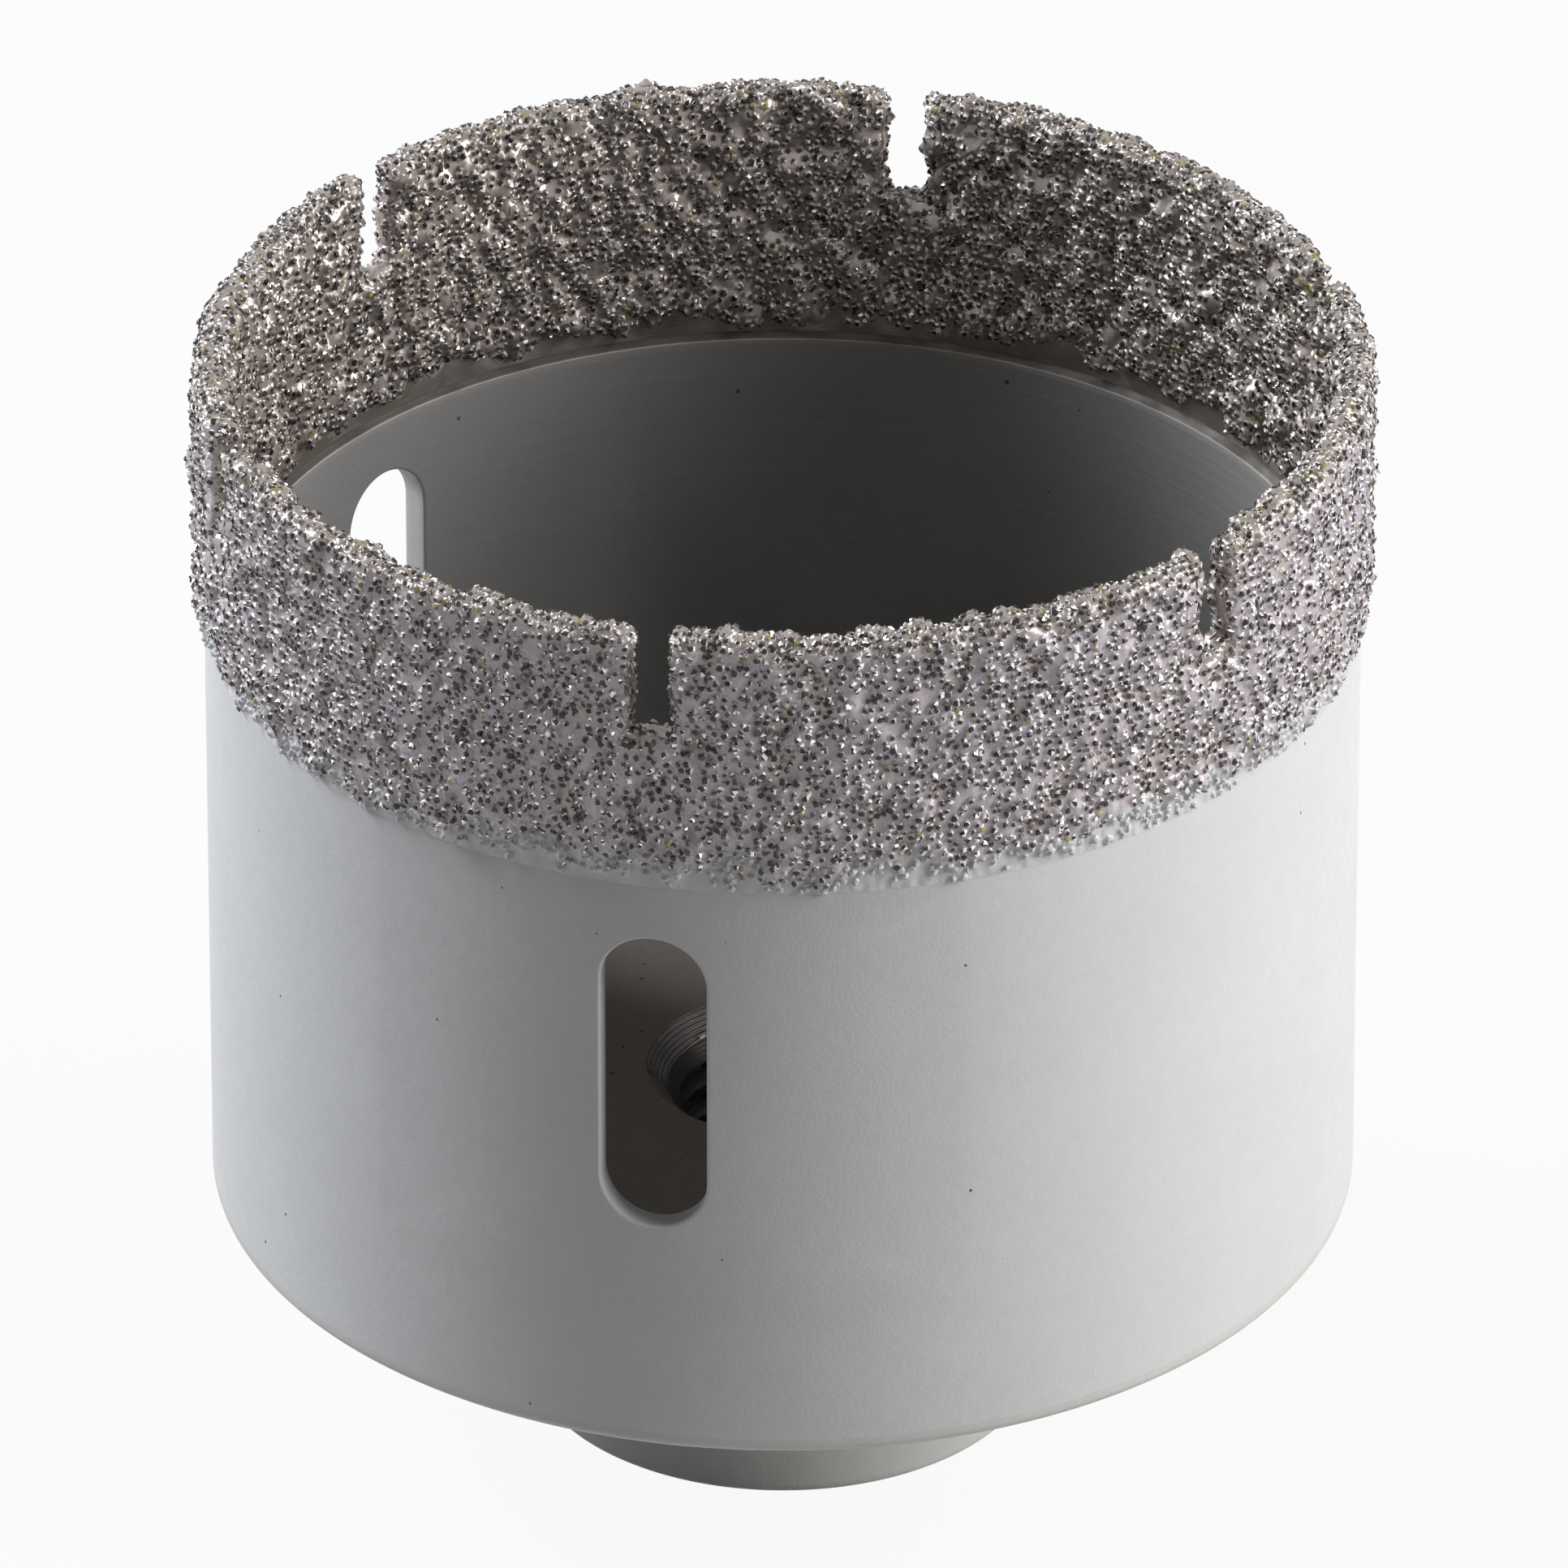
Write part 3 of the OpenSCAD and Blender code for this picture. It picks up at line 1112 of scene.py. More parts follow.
        foot_r, neck_r, top_r, neck_h, top_h = self.uneven
        neck_twist, top_twist = self.twists
        size = rng.uniform(*self.sizes, (count, 1))
        u = unit(np.cross(places.normals, rng.normal(size=(count, 3))))
        axes = (u, np.cross(places.normals, u))
        fifths = rng.uniform(0, 2 * math.pi, (count, 1)) + np.arange(5) * 2 * math.pi / 5
        neck_angles = fifths + rng.uniform(-neck_twist, neck_twist, (count, 5))
        thirds = fifths[:, :1] + math.radians(36) + np.arange(3) * 2 * math.pi / 3
        sunk = (1 - self.painted_loss * painted)[:, None]
        foot = self.ring(places, axes, fifths, size * about(self.collar_r, foot_r, 5),
                         np.full((count, 5), -self.sink))
        neck = self.ring(places, axes, neck_angles, size * about(self.neck_r, neck_r, 5),
                         sunk * size * about(self.neck_h, neck_h, 5))
        top = self.ring(places, axes, thirds + rng.uniform(-top_twist, top_twist, (count, 3)),
                        size * about(self.top_r, top_r, 3), sunk * size * about(self.top_h, top_h, 3))
        lean = rng.uniform(-self.lean, self.lean, (2, count, 1))
        top = top + (lean[0] * axes[0] + lean[1] * axes[1])[:, None]
        return np.concatenate([foot, neck, top], axis=1)

    def shading(self, places: Places, points: Array) -> Array:
        """Gives the normals that shade the collars: the braze's own at the foot, leaning out at the neck.

        Args:
            places: where the grains stand.
            points: their points, (grains, 13, 3).

        Returns:
            A normal for each corner of each face; zeros keep a flat face's own normal.
        """
        normals = places.normals[:, None]
        outward = unit(points[:, 5:10] - places.points[:, None])
        outward = outward - (outward * normals).sum(axis=2, keepdims=True) * normals
        given = np.zeros(points.shape)
        given[:, :5] = normals
        given[:, 5:10] = unit(normals + self.collar_tilt * unit(outward))
        collar = np.concatenate(self.COLLAR)
        rest = sum(len(face) for face in self.FOOT + self.CRYSTAL)
        flat = np.zeros((len(points), rest, 3))
        return np.concatenate([given[:, collar], flat], axis=1).reshape(-1, 3)

    def build(self, name: str, places: Places, seed: int, materials: list[Material]) -> None:
        """Builds a piece of grains and dresses it.

        Args:
            name: name of the piece.
            places: where the grains stand.
            seed: seed of their sizes and turns.
            materials: the braze and the grains, as CoatFace numbers them.
        """
        rng = np.random.default_rng(seed)
        count = len(places.points)
        painted = eased((places.painted - 0.35) / 0.3)
        points = self.corners(places, painted, rng)
        faces = self.COLLAR + self.FOOT + self.CRYSTAL
        loops = (np.concatenate(faces)[None, :] + self.POINTS * np.arange(count)[:, None]).ravel()
        sizes = np.tile([len(face) for face in faces], count)
        of_braze, of_grain = len(self.COLLAR + self.FOOT), len(self.CRYSTAL)
        slots = np.tile([int(CoatFace.BRAZE)] * of_braze + [int(CoatFace.GRAIN)] * of_grain, count)
        mesh = mesh_of(name, points.reshape(-1, 3), loops, sizes, slots)
        smooth = [True] * len(self.COLLAR) + [False] * len(self.FOOT + self.CRYSTAL)
        mesh.polygons.foreach_set("use_smooth", np.tile(smooth, count))
        set_values(mesh, Mark.PAINTED, np.repeat(painted, self.POINTS))
        set_values(mesh, Mark.TINT, self.tints(count, rng).ravel(), "FACE")
        mesh.normals_split_custom_set(self.shading(places, points))
        finished_piece(mesh, materials, Node.COAT)


@dataclass(frozen=True)
class Coat:
    """The coat of brazed diamond grit round the rim: a lumpy skin of braze, with grains standing in it.

    Attributes:
        wall: the steel wall that it grips.
        lip_z: height of the coat's lip, grains included.
        outer_t: thickness of the braze outside.
        inner_t: thickness of the braze inside.
        stand: height that the grains stand above the braze.
        outer_foot_z: height of its lower edge outside.
        inner_foot_z: lowest height of its lower edge inside.
        wander: how far up the braze starts to swell in places; inside, its edge goes up with it.
        wander_waves: noise of those places.
        taper: height over which the braze swells to its full thickness.
        edge_t: thickness at the edges.
        painted_h: height over which the outer edge is painted over.
        painted_waves: noise that makes the paint's edge ragged.
        notch: the notches between the braze's walls.
        edge_round: radius of the rounds along the notches.
        lip_h: height of the lip's band, where the grains stand closer.
        lip_steps: number of steps on the lip's half circle.
        step: size of the skin's cells.
        relief: heights of the lumps, each with its waves.
        inner_relief: how many times higher the lumps are inside the rim.
        pitch: distance between grains.
        lip_pitch: distance between the grains on the lip.
        shift: the most that a grain is shifted, as a share of the distance.
        full_share: share of the places that hold a grain where there are no gaps.
        gap_waves: noise of the gaps between the grains.
        gap_from: value of that noise from which the grains thin out, over a span of 1.
        gap_loss: share of the places that hold no grain in a gap.
        bare_below: share of growth below which the braze holds no grain.
        stray_share: share of the places on the painted ledge that hold a grain.
        lip_piece_h: height of the grains' piece on the lip, which also takes the notches' walls.
        lip_yellow: share of yellow grains on the lip.
        grain: shape of the grains.
        seed: seed of the grains' places.
    """

    wall: Wall
    lip_z: float
    outer_t: float = 0.33
    inner_t: float = 0.36
    stand: float = 0.30
    outer_foot_z: float = 51.2
    inner_foot_z: float = 51.7
    wander: float = 1.5
    wander_waves: Layers = (
        (0.6, Waves(7.0, seed=31)), (0.6, Waves(1.7, seed=33)), (0.55, Waves(0.9, seed=35)),
    )
    taper: float = 0.85
    edge_t: float = 0.05
    painted_h: float = 0.75
    painted_waves: Layers = ((0.4, Waves(1.3, seed=41)), (0.3, Waves(0.65, seed=43)))
    notch: Notch = Notch(half_width=1.27, floor_z=60.85, corner=0.4)
    edge_round: float = 0.6
    lip_h: float = 1.1
    lip_steps: int = 12
    step: float = 0.31
    relief: Layers = (
        (0.080, Waves(3.4, seed=3, stretch=1.3)),
        (0.110, Waves(1.9, seed=5)),
        (0.050, Waves(1.1, seed=7)),
    )
    inner_relief: float = 1.5
    pitch: float = 0.59
    lip_pitch: float = 0.48
    shift: float = 0.3
    full_share: float = 0.98
    gap_waves: Layers = ((1.0, Waves(1.7, seed=51, stretch=1.3)), (0.5, Waves(0.9, seed=53)))
    gap_from: float = 1.1
    gap_loss: float = 0.7
    bare_below: float = 0.03
    stray_share: float = 0.45
    lip_piece_h: float = 1.6
    lip_yellow: float = 0.05
    grain: GrainShape = GrainShape()
    seed: int = 21

    def start_heights(self, turn: Array, outer: bool) -> Array:
        """Gives the heights where the braze starts to swell.

        They are the lowest height plus the wander times 1 / (1 + e^(-1.6 n)), where n is noise.

        Args:
            turn: turns of the places.
            outer: True on the outer face.

        Returns:
            The heights.
        """
        points = place(turn, self.wall.outer_r if outer else self.wall.thin_r, 0.0)
        layers = tuple((share, replace(waves, seed=waves.seed + int(outer)))
                       for share, waves in self.wander_waves)
        lowest = self.outer_foot_z if outer else self.inner_foot_z
        return lowest + self.wander / (1 + np.exp(-1.6 * layered(layers, points)))

    def sector(self, turn0: float) -> tuple[RimSkin, RimSkin]:
        """Works out one sector of the braze's skin and of the steel behind it.

        The rows of the skin climb from the lower edge to the notch's floor, and on to the lip's half circle,
        and come down the same way inside to a ragged edge. From the height where the braze starts to swell,
        its thickness eases from the edge's to its full value.

        Args:
            turn0: turn of the sector's middle.

        Returns:
            The skin, and the steel's face with the same upright lines.
        """
        wall, notch, edge = self.wall, self.notch, self.edge_round
        outer_r, inner_r = wall.outer_r + self.outer_t, wall.thin_r - self.inner_t
        lip_r, lip_mid = (outer_r - inner_r) / 2, (outer_r + inner_r) / 2
        lip_low = self.lip_z - self.stand - lip_r
        sides, left, right = notch_columns(notch, outer_r * SECTOR_TURN / 2, self.step, edge)
        around = turn0 + np.sign(sides) * np.abs(sides) / sides[-1] * SECTOR_TURN / 2
        outer_start, inner_start = self.start_heights(around, True), self.start_heights(around, False)
        outer_edge = np.full(len(sides), self.outer_foot_z)

        below = notch.floor_z - edge * (1 - np.sin(np.linspace(0, math.pi / 2, ROUND_STEPS + 1)))
        above = np.linspace(notch.floor_z, lip_low, round((lip_low - notch.floor_z) / self.step) + 1)[1:]
        count = round((below[0] - self.outer_foot_z - self.wander / 2) / self.step)
        share = (np.arange(count) / count)[:, None]
        outward = arc((0, 0), 1, 0, 180, self.lip_steps)[1:-1]
        lip = np.array([lip_mid, lip_low]) + lip_r * outward
        straight = np.concatenate([below, above])

        def face(edge_z: Array, start_z: Array, radius: float, steel_r: float) -> tuple[Array, Array]:
            """Works out one face's rows, from its edge up.

            Args:
                edge_z: heights of its lower edge.
                start_z: heights where the braze starts to swell.
                radius: radius of the face at full thickness.
                steel_r: radius of the steel behind it.

            Returns:
                Radii and heights, (rows, lines) each.
            """
            foot = edge_z + (below[0] - edge_z) * share
            heights = np.concatenate([foot, np.broadcast_to(straight[:, None], (len(straight), len(sides)))])
            full = abs(radius - steel_r)
            thick = self.edge_t + (full - self.edge_t) * eased((heights - start_z) / self.taper)
            return steel_r + math.copysign(1, radius - steel_r) * thick, heights

        outer_radius, outer_height = face(outer_edge, outer_start, outer_r, wall.outer_r)
        inner_radius, inner_height = face(inner_start, inner_start, inner_r, wall.thin_r)
        width = np.ones(len(sides))
        radius = np.concatenate([outer_radius, lip[:, :1] * width, inner_radius[::-1]])
        height = np.concatenate([outer_height, lip[:, 1:] * width, inner_height[::-1]])
        facing = np.concatenate([
            np.tile([1.0, 0.0], (len(outer_radius), 1)), outward,
            np.tile([-1.0, 0.0], (len(inner_radius), 1)),
        ])
        low = count + len(below) - 1
        skin = RimSkin(notch, sides, left, right, radius, height, low, len(radius) - 1 - low, edge, facing)
        return skin, self.steel_face(skin, outer_edge, inner_start)

    def steel_face(self, skin: RimSkin, outer_edge: Array, inner_edge: Array) -> RimSkin:
        """Works out the steel's face behind one sector of the skin, with few rows and the skin's own lines.

        Args:
            skin: the sector of the skin.
            outer_edge: heights of the skin's lower edge outside.
            inner_edge: those inside.

        Returns:
            The steel's face.
        """
        wall, steel = self.wall, self.wall.notch
        heights = np.concatenate([
            [55.0, 58.5], np.linspace(steel.floor_z, steel.floor_z + steel.corner, 4),
            [wall.rim_z - wall.rim_round],
        ])
        rows = wall.rim_section(heights)
        half, reach = skin.notch.half_width, skin.sides[-1]
        beyond = np.sign(skin.sides) * (
            steel.half_width + (np.abs(skin.sides) - half) * (reach - steel.half_width) / (reach - half)
        )
        within = skin.sides * steel.half_width / half
        sides = np.where(np.abs(skin.sides) <= half, within, beyond)
        width = np.ones(len(sides))
        radius = np.concatenate([wall.outer_r * width[None], rows[:, :1] * width, wall.thin_r * width[None]])
        height = np.concatenate([outer_edge[None], rows[:, 1:] * width, inner_edge[None]])
        outer_floor, inner_floor = rows_at(rows, steel.floor_z)
        return RimSkin(steel, sides, skin.left, skin.right, radius, height, outer_floor + 1, inner_floor + 1)

    def skin_values(self, skin: RimSkin, around: Array, height: Array) -> Array:
        """Gives how far the skin's points are painted over, and how far the braze has grown there.

        Args:
            skin: a sector of the skin.
            around: turns of its points.
            height: their heights.

        Returns:
            The values, (rows, lines, 2).
        """
        outside = np.arange(len(height))[:, None] * 2 < len(height)
        rise = height - np.where(outside, self.start_heights(around, True), self.start_heights(around, False))
        points = place(around, skin.radius, height)
        ragged = layered(self.painted_waves, points)
        painted = eased((self.painted_h - rise + ragged) / 0.25 + 0.5) * outside
        grown = eased(rise / self.taper + np.where(outside, 0.0, 0.25))
        grown[[0, -1]] = 0
        return np.stack([painted, grown], axis=2)

    def build(self, braze: Material, grit: Material) -> None:
        """Builds the braze's skin, strews the grains over it, and dresses both.

        Args:
            braze: the braze.
            grit: the grains.
        """
        patches = Patchwork(value_count=2)
        fronts: list[int] = []
        for sector in range(SECTORS):
            turn0 = sector * SECTOR_TURN
            skin, steel = self.sector(turn0)
            turn, radius, height = skin.grid()
            values = self.skin_values(skin, turn + turn0, height)
            front = np.concatenate([place(turn + turn0, radius, height), values], axis=2)
            before = len(patches.grids)
            skin.lay(patches, front, across=8, first=0, last=len(front) - 1)
            fronts += range(before, len(patches.grids))
            turn, radius, height = steel.grid()
            back = patches.padded(place(turn + turn0, radius, height))
            steel.lay(patches, back, across=2, first=0, last=len(back) - 1, flip=True)
            patches.add(np.stack([back[0], front[0]]))
            patches.add(np.stack([front[-1], back[-1]]))
        surface = patches.welded()
        normals = surface.normals()
        distance = np.hypot(surface.points[:, 0], surface.points[:, 1])
        inward = eased((self.wall.outer_r - distance) / self.wall.thickness)
        lumps = layered(self.relief, surface.points) * (1 + (self.inner_relief - 1) * inward)
        lumpy = replace(surface, points=surface.points + normals * (lumps * surface.values[:, 1])[:, None])
        mesh = shell_mesh("braze_coat", lumpy, LUMP_SHARP_ANGLE)
        set_values(mesh, Mark.PAINTED, lumpy.values[:, 0])
        finished_piece(mesh, [braze], Node.COAT)
        self.strew(lumpy, fronts, [braze, grit])

    def lattice(self, surface: Surface, fronts: list[int], rng: np.random.Generator) -> Places:
        """Lays places out over the braze, closer together on the lip.

        Args:
            surface: the braze's surface.
            fronts: indexes of its patches that face away from the steel.
            rng: the random numbers.

        Returns:
            The places.
        """
        carried = np.concatenate([surface.points, surface.normals(), surface.values], axis=1)
        parts: list[Places] = []
        for patch in fronts:
            grid = carried[surface.places[patch]]
            on_lip = np.flatnonzero(grid[..., 2].mean(axis=1) > self.lip_z - self.lip_h)
            if not len(on_lip) or len(on_lip) == len(grid):
                parts.append(scattered(grid, self.pitch, self.shift, rng))
                continue
            low, high = on_lip[0], on_lip[-1]
            parts.append(scattered(grid[low:high + 1], self.lip_pitch, self.shift, rng))
            sides = [part for part in (grid[:low + 1], grid[high:]) if len(part) > 1]
            parts += [scattered(part, self.pitch, self.shift, rng) for part in sides]
        return Places.joined(parts)

    def chances(self, places: Places) -> Array:
        """Gives the chance that a place holds a grain: high on the braze but for gaps, low on the ledge.

        Args:
            places: the places.

        Returns:
            The chances, from 0 to 1.
        """
        height, gaps = places.points[:, 2], layered(self.gap_waves, places.points)
        chance = self.full_share - self.gap_loss * eased(gaps - self.gap_from)
        chance[height > self.lip_z - self.lip_h] = 1.0
        bare = places.grown < self.bare_below
        chance[bare] = 0.0
        chance[bare & (places.painted > 0.9) & (height > self.outer_foot_z + 0.3)] = self.stray_share
        return chance

    def strew(self, surface: Surface, fronts: list[int], materials: list[Material]) -> None:
        """Strews grains over the braze and builds them, in five pieces.

        Args:
            surface: the braze's surface.
            fronts: indexes of its patches that face away from the steel.
            materials: the braze and the grains.
        """
        rng = np.random.default_rng(self.seed)
        places = self.lattice(surface, fronts, rng)
        places = places.where(rng.uniform(0, 1, len(places.points)) < self.chances(places))
        distance = np.hypot(places.points[:, 0], places.points[:, 1])
        facing = np.abs((places.normals * unit(places.points * [1, 1, 0])).sum(axis=1))
        lip = (places.points[:, 2] > self.lip_z - self.lip_piece_h) | (facing < 0.5)
        outside = ~lip & (distance > self.wall.outer_r)
        inside = ~lip & (distance < self.wall.outer_r)
        right = places.points[:, 0] > 0
        groups = {
            "grit_lip": lip,
            "grit_outside_left": outside & ~right,
            "grit_outside_right": outside & right,
            "grit_inside_left": inside & ~right,
            "grit_inside_right": inside & right,
        }
        for seed, (name, chosen) in enumerate(groups.items()):
            grain = replace(self.grain, yellow_share=self.lip_yellow) if name == "grit_lip" else self.grain
            grain.build(name, places.where(chosen), self.seed + 1 + seed, materials)


# Finishes

Inputs = dict[str | int, object]

# The paint over the coat's foot is the tube's paint made darker, as painted shade on the foot, which faces
# down
SHADED_FOOT_PAINT: Colour = (0.495, 0.50, 0.515)
FOOT_PAINT_ROUGHNESS = 0.40


@dataclass
class NodeBench:
    """A node tree under construction.

    Attributes:
        tree: the tree of a material, a world or a node group.
    """

    tree: NodeTree

    def feed(self, node: bpy.types.Node, inputs: Inputs) -> None:
        """Feeds a node's input sockets.

        Args:
            node: the node.
            inputs: values of its input sockets, or output sockets to link to them.
        """
        for name, value in inputs.items():
            if isinstance(value, NodeSocket):
                self.tree.links.new(value, node.inputs[name])
            else:
                node.inputs[name].default_value = value

    def add(self, kind: str, inputs: Inputs | None = None, **settings: object) -> bpy.types.Node:
        """Adds a node.

        Args:
            kind: its type, without the ShaderNode in front.
            inputs: values of its input sockets, or output sockets to link to them.
            settings: its own settings.

        Returns:
            The node.
        """
        node = self.tree.nodes.new(kind if kind.startswith("Node") else "ShaderNode" + kind)
        for name, value in settings.items():
            setattr(node, name, value)
        self.feed(node, inputs or {})
        return node

    def math(self, operation: str, *values: object) -> NodeSocket:
        """Adds a Math node and gives its result."""
        return self.add("Math", dict(enumerate(values)), operation=operation).outputs[0]

    def remap(self, value: NodeSocket, low: float, high: float, start: float = 0.0,
              end: float = 1.0) -> NodeSocket:
        """Adds a Map Range node between two spans, eased and held at its ends, and gives its result."""
        inputs = {"Value": value, "From Min": low, "From Max": high, "To Min": start, "To Max": end}
        return self.add("MapRange", inputs, interpolation_type="SMOOTHSTEP").outputs["Result"]

    def mixed(self, share: object, first: object, second: object) -> NodeSocket:
        """Adds a Mix node for two colours and gives its result."""
        return self.add("Mix", {0: share, 6: first, 7: second}, data_type="RGBA").outputs[2]

    def group(self, group: NodeTree, inputs: Inputs) -> bpy.types.Node:
        """Adds a node group with its inputs."""
        return self.add("Group", inputs, node_tree=group)

    def where(self) -> NodeSocket:
        """Adds Texture Coordinate and gives the object's own coordinates."""
        return self.add("TexCoord").outputs["Object"]

    def dress(self, shader: bpy.types.Node, over: bpy.types.Node, normal: NodeSocket) -> None:
        """Feeds a shader the painted-over finish and the normal."""
        finish = {name.replace("Color", "Base Color"): over.outputs[name] for name in over.outputs.keys()}
        self.feed(shader, {**finish, "Normal": normal})

    def marked(self, mark: Mark) -> NodeSocket:
        """Adds Attribute and gives the value that the mesh carries under the mark's name."""
        return self.add("Attribute", attribute_name=mark.value).outputs["Fac"]

    def noise(self, where: NodeSocket, scale: object, detail: float, **more: float) -> NodeSocket:
        """Adds a Noise Texture and gives its value."""
        inputs = {"Vector": where, "Scale": scale, "Detail": detail, **more}
        return self.add("TexNoise", inputs).outputs["Fac"]

    def bump(self, height: NodeSocket, distance: float, below: NodeSocket | None = None,
             strength: float = 1.0) -> NodeSocket:
        """Adds a Bump node, on the surface's own normal or the one given, and gives its normal."""
        inputs = {"Height": height, "Distance": distance, "Strength": strength}
        return self.add("Bump", inputs | ({"Normal": below} if below else {})).outputs[0]


def rgba(colour: Colour) -> tuple[float, float, float, float]:
    """Gives a colour with an alpha of 1."""
    return (*colour, 1.0)


def new_group(name: str, inputs: dict[str, str],
              outputs: dict[str, str]) -> tuple[NodeBench, dict[str, NodeSocket]]:
    """Makes an empty node group.

    Args:
        name: its name.
        inputs: the kinds of its input sockets by their names.
        outputs: the kinds of its output sockets by their names.

    Returns:
        Its bench, and the sockets that bring its inputs, by their names.
    """
    tree = bpy.data.node_groups.new(name, "ShaderNodeTree")
    for sockets, direction in ((inputs, "INPUT"), (outputs, "OUTPUT")):
        for socket, kind in sockets.items():
            tree.interface.new_socket(name=socket, in_out=direction, socket_type="NodeSocket" + kind)
    bench = NodeBench(tree)
    return bench, dict(bench.add("NodeGroupInput").outputs.items())


class Effects:
    """Node groups that several finishes use."""

    def __init__(self) -> None:
        """Builds the groups."""
        self.specks = self.build_specks()
        self.grain = self.build_grain()
        self.painted_over = self.build_painted_over()

    @staticmethod
    def build_specks() -> NodeTree:
        """Builds specks: in some cells of a Voronoi pattern, a spot of the cell's own size at its point.

        Returns:
            The group: Vector, Cells (per metre), Size and Share in; Mask out.
        """
        bench, given = new_group(
            "stray_specks",
            {"Vector": "Vector", "Cells": "Float", "Size": "Float", "Share": "Float"},
            {"Mask": "Float"},
        )
        shaken = bench.noise(given["Vector"], 2600.0, 1.0)
        cells = bench.add("TexVoronoi", {"Vector": given["Vector"], "Scale": given["Cells"]})
        draw = bench.add("SeparateColor", {"Color": cells.outputs["Color"]})
        size = bench.math("MULTIPLY", given["Size"], bench.math("ADD", draw.outputs["Green"], 0.35))
        uneven = bench.math("MULTIPLY_ADD", shaken, 0.9, 0.55)
        near = bench.math("DIVIDE", cells.outputs["Distance"], bench.math("MULTIPLY", size, uneven))
        spot = bench.remap(near, 1.15, 0.75)
        chosen = bench.math("LESS_THAN", draw.outputs["Red"], given["Share"])
        bench.add("NodeGroupOutput", {"Mask": bench.math("MULTIPLY", spot, chosen)})
        return bench.tree

    @staticmethod
    def build_grain() -> NodeTree:
        """Builds fine grain: noise of two sizes added together.

        Returns:
            The group: Vector, Scale (per metre) and Coarse in; Height out.
        """
        bench, given = new_group(
            "fine_grain", {"Vector": "Vector", "Scale": "Float", "Coarse": "Float"}, {"Height": "Float"}
        )
        fine = bench.noise(given["Vector"], given["Scale"], 2.0, Roughness=0.6)
        wide = bench.math("MULTIPLY", given["Scale"], 0.23)
        coarse = bench.noise(given["Vector"], wide, 1.0)
        share = bench.math("MULTIPLY", coarse, given["Coarse"])
        bench.add("NodeGroupOutput", {"Height": bench.math("ADD", fine, share)})
        return bench.tree

    @staticmethod
    def build_painted_over() -> NodeTree:
        """Builds the paint that laps over the coat's foot: a mix of bare finish and paint by the mask.

        Returns:
            The group: Bare Color, Paint Color, Bare Roughness, Bare Metallic and Painted in; Color, Roughness
            and Metallic out.
        """
        bench, given = new_group(
            "painted_over",
            {"Bare Color": "Color", "Paint Color": "Color", "Bare Roughness": "Float",
             "Bare Metallic": "Float", "Painted": "Float"},
            {"Color": "Color", "Roughness": "Float", "Metallic": "Float"},
        )
        painted = given["Painted"]
        bare = bench.math("SUBTRACT", 1.0, painted)
        colour = bench.mixed(painted, given["Bare Color"], given["Paint Color"])
        rough = bench.math("MULTIPLY_ADD", painted, FOOT_PAINT_ROUGHNESS,
                           bench.math("MULTIPLY", given["Bare Roughness"], bare))
        metal = bench.math("MULTIPLY", given["Bare Metallic"], bare)
        bench.add("NodeGroupOutput", {"Color": colour, "Roughness": rough, "Metallic": metal})
        return bench.tree


def new_material(name: str, **constants: float) -> tuple[Material, NodeBench, bpy.types.Node]:
    """Makes a material with a Principled BSDF.

    Args:
        name: its name.
        constants: values set on the shader's own sockets, with _ for a space in their names.

    Returns:
        The material, its bench and its shader.
    """
    material = bpy.data.materials.new(name)
    material.use_nodes = True
    shader = material.node_tree.nodes["Principled BSDF"]
    for socket, value in constants.items():
        shader.inputs[socket.replace("_", " ")].default_value = value
    return material, NodeBench(material.node_tree), shader


@dataclass(frozen=True)
class Specks:
    """Stray specks on paint.

    Attributes:
        colour: their colour.
        cells: number of cells per metre.
        size: radius of a speck, as a share of a cell.
        share: share of the cells that hold a speck.
    """

    colour: Colour = (0.10, 0.09, 0.08)
    cells: float = 530.0
    size: float = 0.045
    share: float = 0.3

    def mask(self, bench: NodeBench, effects: Effects, spot: NodeSocket) -> NodeSocket:
        """Adds the specks' node group and gives its mask."""
        inputs = {"Vector": spot, "Cells": self.cells, "Size": self.size, "Share": self.share}
        return bench.group(effects.specks, inputs).outputs["Mask"]


